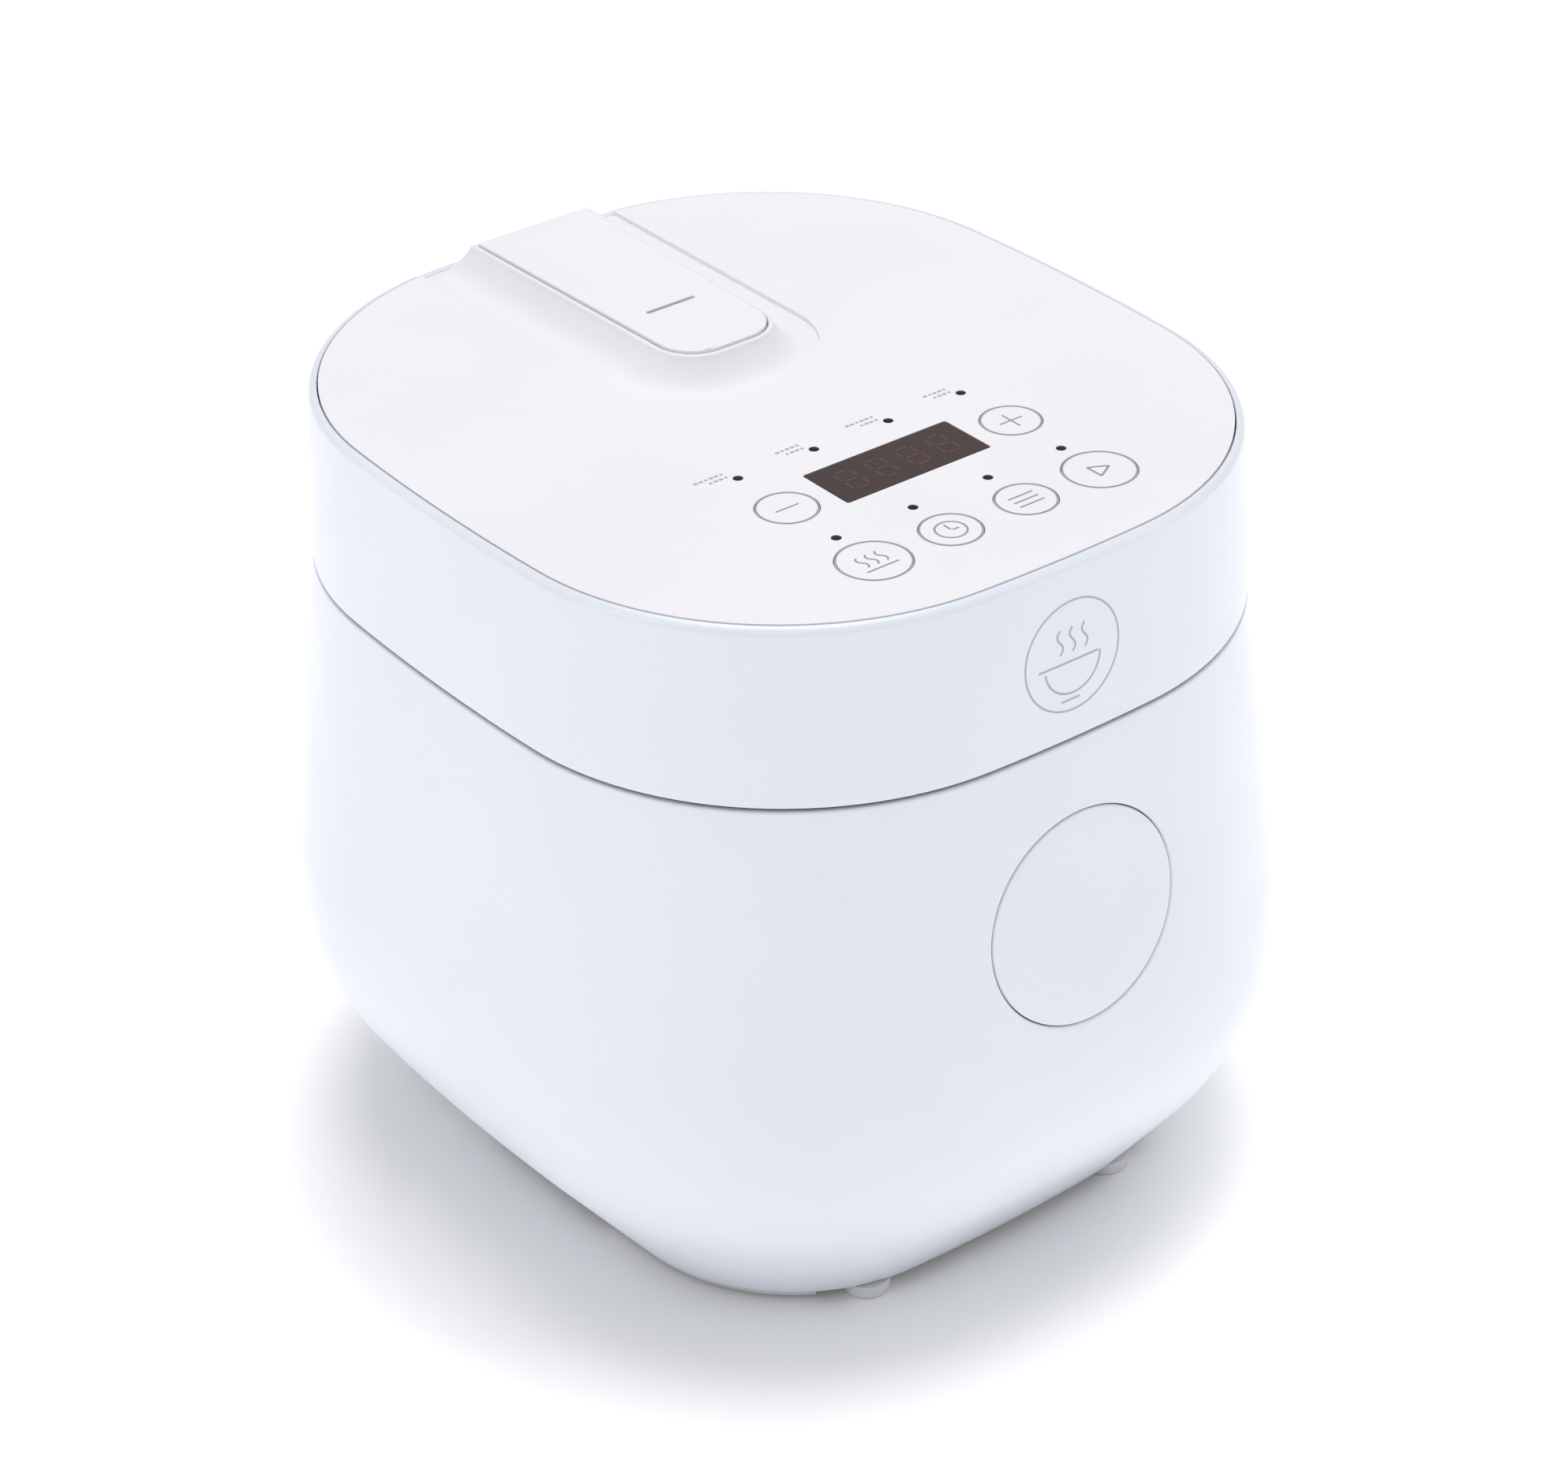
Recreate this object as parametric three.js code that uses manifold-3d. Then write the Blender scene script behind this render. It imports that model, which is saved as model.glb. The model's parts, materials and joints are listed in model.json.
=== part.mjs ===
// Rice cooker with a hinged lid, a large front release button and a flat touch panel.
// Millimetres, +Z up, front towards -Y, origin on the floor under the middle of the body.

import * as THREE from 'three';
import { mergeVertices } from 'three/addons/utils/BufferGeometryUtils.js';
import Module from 'manifold-3d';

const wasm = await Module();
wasm.setup();

// ---------------------------------------------------------------- driving dimensions

const gap = 0.3; // clearance between pieces that sit against each other
const overlap = 0.5; // how far joined shapes run into each other

// Body outline at its widest level: a rounded square with gently bowed sides.
const bodyWidth = 240;
const bodyDepth = 266.6;
const cornerRadius = 96.6;
const frontBowRadius = 570;
const sideBowRadius = 710;

// Body profile, from the floor up.
const shellBottomZ = 4;
const kneeLowZ = 68.5; // the flank curves in below this height
const kneeHighZ = 73.5; // the wall leans in above this height
const kneeRadius = 57;
const flankAngle = THREE.MathUtils.degToRad(38);
const draftRadius = 130;
const draftAngle = THREE.MathUtils.degToRad(6.6);
const cornerTuck = 0.2; // extra tightening of the corners below the knee
const seamZ = 173.1; // joint line between body and lid
const seamGap = 1;
const shellWall = 2.5;

// Lid.
const lidHeight = 49.8; // from the seam to the panel's face
const lidDraft = 0.05;
const lidWall = 2;
const rimRadius = 1.8;
const panelThickness = 3;
const ledgeWidth = 4;
const ledgeThickness = 2.3;

// Deck between the shell and the pot.
const deckDrop = 3.5; // below the seam
const deckThickness = 3;
const deckHoleGap = 2.5; // around the pot

// Pot, liner and heater.
const linerSideRoom = 15.3; // from the outline at the seam to the liner
const linerFrontRoom = 28.6;
const linerWall = 1;
const linerFlangeWidth = 5;
const linerBevel = 10;
const linerBottomZ = 30;
const potAirGap = 3; // between pot and liner
const potWall = 2;
const potBottomZ = 44.6;
const potCornerRadius = 22;
const potFlangeWidth = 6;
const potFlangeThickness = 1.8;
const plateEdgeInset = 14; // inside the pot's wall
const plateBevel = 4;
const plateThickness = 9.7;
const plateHoleRadius = 18;
const sensorCapRadius = 15;
const sensorCapThickness = 5;
const sensorStemRadius = 5;
const sensorStemLength = 15;
const sensorCapBevel = 1;
const sensorSpringGap = 3; // outside the stem
const sensorSpringWire = 0.7;
const sensorSpringTurns = 3;

// Lid hinge, along X near the rear wall.
const hingeRise = 8; // axis above the seam
const hingeHalfLength = 58;
const hingeBarrelRadius = 9;
const hingeSweepGap = 1.3; // kept clear of lid material around the barrel
const hingeNotchMargin = 2;
const hingePinRadius = 2;
const hingeSpringWire = 0.8;
const hingeSpringTurns = 4;
const earInnerX = 40.8;
const earWidth = 6.4;
const earRadius = 6.2;
const earWebRise = 3.5; // above the axis
const earGap = 0.8;
const springPocketX = 22;
const springPocketLength = 12;
const springPocketRadius = 6.4;

// Lid inner frame and inner lid.
const frameLift = 0.8; // above the lid's lower edge
const frameThickness = 2;
const dishGap = 1.2; // around the gasket
const dishCeilingRise = 6.9; // above the seam
const innerLidInset = 1.5; // inside the pot's outer wall
const innerLidThickness = 1.2;
const gasketHeight = 5.2;
const gasketWidth = 5.4;
const gasketLip = 2.3;
const innerLidDome = 1.5;
const innerLidBrim = 9;
const innerLidSlope = 18;
const probeY = -30;
const probeRadius = 3;

// Steam outlet on the top.
const steamHoleInset = 30.5; // behind the cap's front edge
const steamHoleRadius = 7;
const steamTubeWall = 2;
const capLength = 97.1;
const capRearInset = 9.55; // in front of the lid's rear edge
const capFrontHalf = 18;
const capRearHalf = 20;
const capFrontRadius = 13;
const capThickness = 2.7;
const capRise = 8; // top of the cap above the panel
const capSlotLength = 16;
const capSlotWidth = 1.4;
const capClipWidth = 8;
const capClipThickness = 3;
const capClipDepth = 5.5;
const capClipInset = 13; // from each end of the cap
const moundFlare = 8;
const moundSkin = 2;
const recessHalf = 33;
const recessFrontGap = 9.5; // in front of the cap
const recessFrontRadius = 20;
const recessDepth = 1.2;

// Control panel.
const columnPitch = 24.5;
const smallKeyRadius = 8.2;
const largeKeyRadius = 9.8;
const keyTravel = 0.6;
const keyFlange = 1.4;
const keyFlangeThickness = 1.2;
const keyStemRadius = 2;
const frontKeyInset = 31.15; // behind the lid's front edge
const keyRowPitch = 34.7;
const frontDotGap = 14.9; // behind its row of keys
const rearDotGap = 20.3;
const dotRadius = 1.25;
const dotBarWidth = 2.4;
const dotBarThickness = 1.5;
const windowWidth = 46.7;
const windowDepth = 18.4;
const windowGap = 1.5; // behind the middle of its row of keys
const windowThickness = 2;
const boardTopDrop = 13.3; // below the panel's face
const boardThickness = 1.6;
const boardMargin = 14;
const boardFrontMargin = 12;
const boardRearMargin = 6;
const switchSize = 6;
const switchHeight = 4;
const switchStemRadius = 1.7;
const switchStemHeight = 1.6;
const postRadius = 2.5;

// Release button on the front, and the latch behind it.
const buttonDrop = 50.7; // below the seam
const buttonRadius = 30.4;
const buttonSeam = 0.35;
const buttonSkin = 2.2;
const buttonDepth = 7;
const buttonFlange = 3.2;
const buttonFlangeThickness = 1.5;
const buttonStemRadius = 5;
const buttonStemLength = 17;
const buttonTipRadius = 3;
const collarWall = 2;
const collarDepth = 9;
const guideDepth = 13;
const guideThickness = 2;
const guideHalfHeight = 12;
const latchInset = 16.64; // pivot behind the front seam surface
const latchDrop = 23.1; // pivot below the seam
const buttonSpringGap = 3.4; // outside the stem
const buttonSpringWire = 0.8;
const buttonSpringTurns = 3.5;
const latchPinRadius = 2;
const latchSpringWire = 0.45;
const latchSpringTurns = 2.5;
const latchHalfWidth = 5;
const latchSpringWidth = 3.4;
const latchEarWidth = 3;
const latchEarRadius = 6;
const latchTopRise = 5; // hook's top above the seam
const latchHookHeight = 4;
const latchTipReach = 3; // behind the pivot
const latchArmGap = 0.4; // behind the button's stem
const latchArmDrop = 7.4; // below the button's middle
const latchArmThickness = 4;
const latchStroke = 4.5; // room for the hook to swing forward
const keeperClearance = 0.8;
const keeperLip = 4;
const keeperThickness = 1.7;
const keeperHalfWidth = 8;

// Base.
const basePlateThickness = 2.5;
const skirtBottomZ = 1.4;
const skirtWall = 2;
const skirtEndInset = 29; // from the sides of the shell's lower edge
const skirtGapHalfY = 22;
const footInsetX = 42;
const footInsetY = 7.3;
const footRadius = 6.5;
const footBevel = 0.8;
const screwInsetX = 27;
const screwInsetY = 32;
const screwHeadRadius = 3.5;
const screwHeadBevel = 1;
const screwHeadHeight = 1.8;
const screwShankRadius = 1.6;
const screwLength = 8;
const ventCount = 5;
const ventPitch = 11;
const ventWidth = 4;
const ventLength = 44;

// Mains inlet and power electronics at the rear.
const inletRise = 3.5; // above the widest level
const inletWidth = 30.4;
const inletHeight = 23.4;
const inletDepth = 20;
const inletSetback = 0.7;
const socketWidth = 24.6;
const socketHeight = 16.6;
const socketDepth = 16;
const inletPinWidth = 2.2;
const inletPinHeight = 4;
const inletPinReach = 10; // length standing in the socket
const inletPinTail = 6; // length behind the inlet
const inletPinX = 7;
const inletPinDrop = 2;
const inletEarthRise = 3;
const powerBoardSideInset = 20; // inside the liner's radius
const powerBoardWidth = 52;
const powerBoardHeight = 58;
const powerBoardGap = 8; // behind the liner
const powerBoardRise = 4; // above the inlet
const relay = { inset: 3, rise: 36, width: 18, height: 16, depth: 14 };
const transformer = { inset: 3, rise: 8, width: 20, height: 18, depth: 15 };
const filterCapacitor = { inset: 28, rise: 12, width: 16, height: 12, depth: 8 };

// Facet counts.
const bowSteps = 2;
const cornerSteps = 5;
const roundSteps = 32;
const buttonSteps = 32;
const keySteps = 16;
const smallSteps = 10;
const axleSteps = 20;
const tubeSteps = 24;
const capSteps = 6;
const springSides = 4;
const springStepsPerTurn = 9;

// ---------------------------------------------------------------- values that follow

const seamHalfX = bodyWidth / 2 - bodyInset(seamZ);
const seamHalfY = bodyDepth / 2 - bodyInset(seamZ);
const axisY = seamHalfY - hingeBarrelRadius;
const axisZ = seamZ + hingeRise;
const hingeSweepRadius = hingeBarrelRadius + hingeSweepGap;
const lidTopZ = seamZ + lidHeight;
const bodyTopZ = seamZ - seamGap / 2;
const lidBottomZ = seamZ + seamGap / 2;
const deckTopZ = seamZ - deckDrop;
const deckBottomZ = deckTopZ - deckThickness;
const linerRadius = Math.min(seamHalfX - linerSideRoom, seamHalfY - linerFrontRoom);
const potRadius = linerRadius - linerWall - potAirGap;
const potRimZ = deckTopZ + 2 * gap;
const potTopZ = potRimZ + potFlangeThickness;
const panelBottomZ = lidTopZ - panelThickness;
const boardTopZ = lidTopZ - boardTopDrop;
const capTopZ = lidTopZ + capRise;
const capBottomZ = capTopZ - capThickness;
const basePlateBottomZ = shellBottomZ + gap;
const basePlateTopZ = basePlateBottomZ + basePlateThickness;
const frameBottomZ = lidBottomZ + frameLift;
const dishCeilingZ = seamZ + dishCeilingRise;
const innerLidRadius = potRadius - innerLidInset;
const dishRadius = innerLidRadius + gap + gasketWidth + dishGap;
const lidHalfY = bodyDepth / 2 - lidInset(lidTopZ);
const capRearY = lidHalfY - capRearInset;
const capFrontY = capRearY - capLength;
const steamHoleY = capFrontY + steamHoleInset;
const frontKeyY = frontKeyInset - lidHalfY;
const rearKeyY = frontKeyY + keyRowPitch;
const frontDotY = frontKeyY + frontDotGap;
const rearDotY = rearKeyY + rearDotGap;
const windowY = rearKeyY + windowGap;
const buttonZ = seamZ - buttonDrop;
const latchPivotY = latchInset - seamHalfY;
const latchPivotZ = seamZ - latchDrop;
const latchTipY = latchPivotY + latchTipReach;
const baseHalfX = bodyWidth / 2 - bodyInset(shellBottomZ);
const baseHalfY = bodyDepth / 2 - bodyInset(shellBottomZ);
const footPlaces = cornerPlaces(baseHalfX - footInsetX, baseHalfY - footInsetY);
const screwPlaces = cornerPlaces(baseHalfX - screwInsetX, baseHalfY - screwInsetY);
const inletZ = kneeHighZ + inletRise;
const keyRows = [
  { name: 'minus', column: 0, y: rearKeyY, radius: smallKeyRadius },
  { name: 'plus', column: 3, y: rearKeyY, radius: smallKeyRadius },
  { name: 'keep_warm', column: 0, y: frontKeyY, radius: largeKeyRadius },
  { name: 'timer', column: 1, y: frontKeyY, radius: smallKeyRadius },
  { name: 'menu', column: 2, y: frontKeyY, radius: smallKeyRadius },
  { name: 'start', column: 3, y: frontKeyY, radius: largeKeyRadius },
];

function columnX(column) {
  return (column - 1.5) * columnPitch;
}

// Lean of the outer wall from the vertical, positive where it widens downwards.
function wallLean(z) {
  if (z >= kneeHighZ) {
    return Math.min(Math.asin(Math.min((z - kneeHighZ) / draftRadius, 1)), draftAngle);
  }
  if (z >= kneeLowZ) {
    return 0;
  }
  return Math.min(Math.asin(Math.min((kneeLowZ - z) / kneeRadius, 1)), flankAngle);
}

// How far the outer wall stands inside the widest outline at a height.
function bodyInset(z) {
  const lean = wallLean(z);
  const above = z >= kneeHighZ;
  const radius = above ? draftRadius : kneeRadius;
  const height = above ? z - kneeHighZ : Math.max(kneeLowZ - z, 0);
  const straight = height - radius * Math.sin(lean);
  return radius * (1 - Math.cos(lean)) + Math.max(straight, 0) * Math.tan(lean);
}

function lidInset(z) {
  return bodyInset(seamZ) + (z - seamZ) * lidDraft;
}

// ---------------------------------------------------------------- solids

function signedVolume(positions, triangles) {
  const corner = [new THREE.Vector3(), new THREE.Vector3(), new THREE.Vector3()];
  let total = 0;
  for (let i = 0; i < triangles.length; i += 3) {
    corner.forEach((point, k) => point.fromArray(positions, 3 * triangles[i + k]));
    total += corner[0].dot(corner[1].cross(corner[2])) / 6;
  }
  return total;
}

// A closed three.js geometry as a solid with its faces pointing out.
function solid(geometry) {
  const bare = geometry.clone();
  bare.deleteAttribute('normal');
  bare.deleteAttribute('uv');
  const merged = mergeVertices(bare, 1e-3);
  const positions = merged.getAttribute('position').array;
  const index = merged.getIndex().array;
  const triangles = [];
  for (let i = 0; i < index.length; i += 3) {
    const [a, b, c] = [index[i], index[i + 1], index[i + 2]];
    if (a !== b && b !== c && c !== a) {
      triangles.push(a, b, c);
    }
  }
  const inward = signedVolume(positions, triangles) < 0;
  const triVerts = new Uint32Array(inward ? triangles.reverse() : triangles);
  const vertProperties = new Float32Array(positions);
  return new wasm.Manifold(new wasm.Mesh({ numProp: 3, vertProperties, triVerts }));
}

function unite(...solids) {
  return solids.reduce((sum, next) => sum.add(next));
}

function cut(body, ...tools) {
  return tools.reduce((rest, tool) => rest.subtract(tool), body);
}

// A box between two corners.
function block([x0, x1], [y0, y1], [z0, z1]) {
  const geometry = new THREE.BoxGeometry(x1 - x0, y1 - y0, z1 - z0);
  return solid(geometry.translate((x0 + x1) / 2, (y0 + y1) / 2, (z0 + z1) / 2));
}

// An upright cylinder standing at (x, y).
function rod(radius, [z0, z1], [x, y] = [0, 0], steps = smallSteps) {
  const geometry = new THREE.CylinderGeometry(radius, radius, z1 - z0, steps);
  return solid(geometry.rotateX(Math.PI / 2).translate(x, y, (z0 + z1) / 2));
}

// A cylinder along X.
function axle(radius, [x0, x1], [y, z], steps = smallSteps) {
  const geometry = new THREE.CylinderGeometry(radius, radius, x1 - x0, steps);
  return solid(geometry.rotateZ(Math.PI / 2).translate((x0 + x1) / 2, y, z));
}

// A turned piece about Z, from [radius, z] points that close on the axis or on themselves.
function turned(points, [x, y] = [0, 0], steps = roundSteps) {
  const profile = points.map(([radius, z]) => new THREE.Vector2(radius, z));
  const geometry = new THREE.LatheGeometry(profile, steps);
  return solid(geometry.rotateX(Math.PI / 2).translate(x, y, 0));
}

// A lathe whose rings follow outlines: each level is { ring: [Vector2, ...], z }.
function loft(levels) {
  const steps = levels[0].ring.length;
  const profile = levels.map((level, order) => new THREE.Vector2(1, order));
  const geometry = new THREE.LatheGeometry(profile, steps);
  const position = geometry.getAttribute('position');
  for (let step = 0; step <= steps; step += 1) {
    levels.forEach(({ ring, z }, order) => {
      const point = ring[step % steps];
      position.setXYZ(step * levels.length + order, point.x, point.y, z);
    });
  }
  return solid(geometry);
}

function loop(levels) {
  return loft([...levels, levels[0]]);
}

// A shape of straight lines in the YZ plane, given width along X.
function slab(points, [x0, x1]) {
  const shape = new THREE.Shape(points.map(([y, z]) => new THREE.Vector2(y, z)));
  const geometry = new THREE.ExtrudeGeometry(shape, { depth: x1 - x0, bevelEnabled: false });
  const turn = new THREE.Matrix4().makeBasis(
    new THREE.Vector3(0, 1, 0),
    new THREE.Vector3(0, 0, 1),
    new THREE.Vector3(1, 0, 0),
  );
  return solid(geometry.applyMatrix4(turn).translate(x0, 0, 0));
}

function prism(shape, [z0, z1], curveSegments = 5) {
  const settings = { depth: z1 - z0, bevelEnabled: false, curveSegments };
  return solid(new THREE.ExtrudeGeometry(shape, settings).translate(0, 0, z0));
}

// A coil spring about Z.
class Helix extends THREE.Curve {
  constructor(radius, length, turns) {
    super();
    Object.assign(this, { radius, length, turns });
  }

  getPoint(t, target = new THREE.Vector3()) {
    const angle = 2 * Math.PI * this.turns * t;
    const [x, y] = [this.radius * Math.cos(angle), this.radius * Math.sin(angle)];
    return target.set(x, y, this.length * t);
  }
}

function coil(radius, wireRadius, [z0, z1], turns) {
  const path = new Helix(radius, z1 - z0 - 2 * wireRadius, turns);
  const wire = new THREE.Shape();
  for (let side = 0; side < springSides; side += 1) {
    const angle = (2 * Math.PI * side) / springSides;
    const [x, y] = [wireRadius * Math.cos(angle), wireRadius * Math.sin(angle)];
    wire[side === 0 ? 'moveTo' : 'lineTo'](x, y);
  }
  const steps = Math.round(turns * springStepsPerTurn);
  const geometry = new THREE.ExtrudeGeometry(wire, { steps, extrudePath: path });
  return geometry.translate(0, 0, z0 + wireRadius);
}

// ---------------------------------------------------------------- outlines

// The rounded-square outline at an inset from the widest level, as one ring of points.
function outlineRing(inset, tuck = 0) {
  const [halfX, halfY] = [bodyWidth / 2 - inset, bodyDepth / 2 - inset];
  const [sideR, frontR] = [sideBowRadius - inset, frontBowRadius - inset];
  const cornerR = cornerRadius - inset - tuck;
  const side = new THREE.Vector2(halfX - sideR, 0);
  const front = new THREE.Vector2(0, halfY - frontR);
  const between = front.clone().sub(side);
  const span = between.length();
  const direction = between.clone().divideScalar(span);
  const outward = new THREE.Vector2(-direction.y, direction.x);
  const along = ((sideR - cornerR) ** 2 - (frontR - cornerR) ** 2 + span ** 2) / (2 * span);
  const across = Math.sqrt((sideR - cornerR) ** 2 - along ** 2);
  const corner = side.clone().addScaledVector(direction, along).addScaledVector(outward, across);
  const sideAngle = corner.clone().sub(side).angle();
  const frontAngle = corner.clone().sub(front).angle();
  const arcs = [
    [side, sideR, 0, sideAngle, bowSteps],
    [corner, cornerR, sideAngle, frontAngle, cornerSteps],
    [front, frontR, frontAngle, Math.PI / 2, bowSteps],
  ];
  const quarter = arcs.flatMap(([centre, radius, start, end, steps]) => {
    const arc = new THREE.EllipseCurve(centre.x, centre.y, radius, radius, start, end);
    return arc.getPoints(steps).slice(0, steps);
  });
  const mirrored = [new THREE.Vector2(0, halfY), ...quarter.slice(1).reverse()];
  const half = [...quarter, ...mirrored.map(({ x, y }) => new THREE.Vector2(-x, y))];
  return [...half, ...half.map(({ x, y }) => new THREE.Vector2(-x, -y))];
}

// A circle whose points face the outline's points.
function circleRing(radius) {
  return outlineRing(0).map((point) => point.clone().setLength(radius));
}

function centreRing() {
  return outlineRing(0).map(() => new THREE.Vector2());
}

// The body's wall at a height, moved inwards by a wall thickness.
function bodyRing(z, thickness = 0) {
  const inset = bodyInset(z);
  const tuck = z < kneeLowZ ? cornerTuck * inset : 0;
  return outlineRing(inset + thickness / Math.cos(wallLean(z)), tuck);
}

function bodyLevel(z, thickness = 0) {
  return { ring: bodyRing(z, thickness), z };
}

function lidLevel(z, thickness = 0) {
  return { ring: outlineRing(lidInset(z) + thickness), z };
}

// Heights at which the body's profile bends, from the top down.
function bodyHeights() {
  const draftEndZ = kneeHighZ + draftRadius * Math.sin(draftAngle);
  const halfDraftZ = kneeHighZ + draftRadius * Math.sin(draftAngle / 2);
  const kneeZ = [1, 2, 3].map((part) => kneeLowZ - kneeRadius * Math.sin((flankAngle * part) / 3));
  return [bodyTopZ, draftEndZ, halfDraftZ, kneeHighZ, kneeLowZ, ...kneeZ, shellBottomZ];
}

// A tongue with round front corners, tapering to the front, open or square at the rear.
function tongue(frontHalf, rearHalf, frontY, rearY, radius) {
  const lean = Math.atan2(rearHalf - frontHalf, rearY - frontY);
  const centreX = frontHalf - radius / Math.cos(lean) + radius * Math.tan(lean);
  const centreY = frontY + radius;
  const shape = new THREE.Shape();
  shape.moveTo(rearHalf, rearY);
  shape.lineTo(-rearHalf, rearY);
  shape.absarc(-centreX, centreY, radius, Math.PI + lean, 1.5 * Math.PI, false);
  shape.absarc(centreX, centreY, radius, 1.5 * Math.PI, 2 * Math.PI - lean, false);
  return shape;
}

function capShape(offset) {
  return tongue(
    capFrontHalf + offset,
    capRearHalf + offset,
    capFrontY - offset,
    capRearY + Math.min(offset, moundFlare / 2),
    capFrontRadius + offset,
  );
}

// ---------------------------------------------------------------- materials

function finish(color, roughness, metalness = 0) {
  return { color, roughness, metalness };
}

const whitePlastic = finish(0xf1f2f6, 0.32);
const panelPlastic = finish(0xf4f3f8, 0.38);
const innerPlastic = finish(0xe9eaee, 0.5);
const basePlastic = finish(0xd9dbe0, 0.6);
const whiteRubber = finish(0xe2e3e6, 0.85);
const silicone = finish(0xdfe3e6, 0.7);
const smokedWindow = finish(0x2b2020, 0.12);
const darkPlastic = finish(0x1d1d20, 0.45);
const potCoating = finish(0xb9bcbc, 0.45, 0.2);
const sheetSteel = finish(0xb4b7ba, 0.35, 0.9);
const springSteel = finish(0x9da1a6, 0.3, 1);
const castAluminium = finish(0xbfc2c5, 0.4, 0.9);
const brass = finish(0xc9a35a, 0.3, 1);
const circuitBoard = finish(0x1f6b45, 0.5);

const cooker = new THREE.Group();

function add(name, shape, look) {
  const { vertProperties, triVerts, numProp } = shape.getMesh();
  const positions = new Float32Array(vertProperties.length / numProp * 3);
  for (let vertex = 0; vertex < positions.length / 3; vertex += 1) {
    for (let axis = 0; axis < 3; axis += 1) {
      positions[3 * vertex + axis] = vertProperties[numProp * vertex + axis];
    }
  }
  const geometry = new THREE.BufferGeometry();
  geometry.setAttribute('position', new THREE.BufferAttribute(positions, 3));
  geometry.setIndex(new THREE.BufferAttribute(triVerts, 1));
  geometry.computeVertexNormals();
  const mesh = new THREE.Mesh(geometry, new THREE.MeshStandardMaterial(look));
  mesh.name = name;
  cooker.add(mesh);
}

// ---------------------------------------------------------------- release button frame

const wallTilt = wallLean(buttonZ);
const inwards = new THREE.Vector3(0, Math.cos(wallTilt), -Math.sin(wallTilt));
const buttonCentre = new THREE.Vector3(0, bodyInset(buttonZ) - bodyDepth / 2, buttonZ);

// Turns a geometry whose +Z is the button's push direction into place on the front wall.
function atButton(geometry) {
  return geometry.rotateX(-Math.PI / 2 - wallTilt).translate(...buttonCentre.toArray());
}

function buttonDisc(radius, [depth0, depth1], steps = buttonSteps) {
  const geometry = new THREE.CylinderGeometry(radius, radius, depth1 - depth0, steps);
  geometry.rotateX(Math.PI / 2).translate(0, 0, (depth0 + depth1) / 2);
  return solid(atButton(geometry));
}

function buttonBlock([x0, x1], [y0, y1], [depth0, depth1]) {
  const geometry = new THREE.BoxGeometry(x1 - x0, y1 - y0, depth1 - depth0);
  geometry.translate((x0 + x1) / 2, (y0 + y1) / 2, (depth0 + depth1) / 2);
  return solid(atButton(geometry));
}

// A layer that follows the front wall between two depths under its surface.
function wallLayer(depth0, depth1) {
  const reach = buttonRadius + buttonFlange + collarWall;
  const [topZ, bottomZ] = [buttonZ + reach, buttonZ - reach];
  return loop([
    bodyLevel(topZ, depth0),
    bodyLevel(buttonZ, depth0),
    bodyLevel(bottomZ, depth0),
    bodyLevel(bottomZ, depth1),
    bodyLevel(buttonZ, depth1),
    bodyLevel(topZ, depth1),
  ]);
}

const collarInner = buttonRadius + buttonFlange + 4 * gap;
const collarOuter = collarInner + collarWall;

// ---------------------------------------------------------------- body

function makeOuterShell() {
  const heights = bodyHeights();
  const outer = heights.map((z) => bodyLevel(z));
  const inner = heights.map((z) => bodyLevel(z, shellWall)).reverse();
  const wall = loop([...outer, ...inner]);
  const collar = cut(
    buttonDisc(collarOuter, [shellWall - overlap, collarDepth]),
    buttonDisc(collarInner, [0, collarDepth + overlap]),
  );
  const inside = loft([
    { ring: centreRing(), z: bodyTopZ },
    ...heights.map((z) => bodyLevel(z, shellWall / 2)),
    { ring: centreRing(), z: shellBottomZ },
  ]);
  const buttonHole = buttonDisc(buttonRadius, [-2 * shellWall, 2 * shellWall]);
  const rearY = bodyDepth / 2;
  const inletHole = block(
    [-inletWidth / 2 - gap, inletWidth / 2 + gap],
    [rearY - 4 * shellWall, rearY + shellWall],
    [inletZ - inletHeight / 2 - gap, inletZ + inletHeight / 2 + gap],
  );
  return cut(unite(wall, collar.intersect(inside)), buttonHole, inletHole);
}

function makeUpperRing() {
  const fit = shellWall + gap;
  const plate = loop([
    bodyLevel(deckTopZ, fit),
    { ring: circleRing(potRadius + deckHoleGap), z: deckTopZ },
    { ring: circleRing(potRadius + deckHoleGap), z: deckBottomZ },
    bodyLevel(deckBottomZ, fit + gap),
  ]);
  const room = latchHalfWidth + latchSpringWidth + gap;
  const slotFront = latchPivotY - latchArmThickness - latchStroke - 3 * gap;
  const slot = block([-room, room], [slotFront, latchTipY + 5 * gap], [deckBottomZ - gap, seamZ]);
  const ears = [-1, 1].flatMap((side) => {
    const edges = [side * room, side * (room + latchEarWidth)].sort((a, b) => a - b);
    const drop = [latchPivotZ, deckBottomZ + overlap];
    return [
      block(edges, [latchPivotY - latchEarRadius, latchPivotY + latchEarRadius], drop),
      axle(latchEarRadius, edges, [latchPivotY, latchPivotZ], smallSteps),
    ];
  });
  const far = room + latchEarWidth + gap;
  const bore = axle(latchPinRadius + gap, [-far, far], [latchPivotY, latchPivotZ]);
  return cut(unite(plate, ...ears), slot, bore);
}

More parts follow.
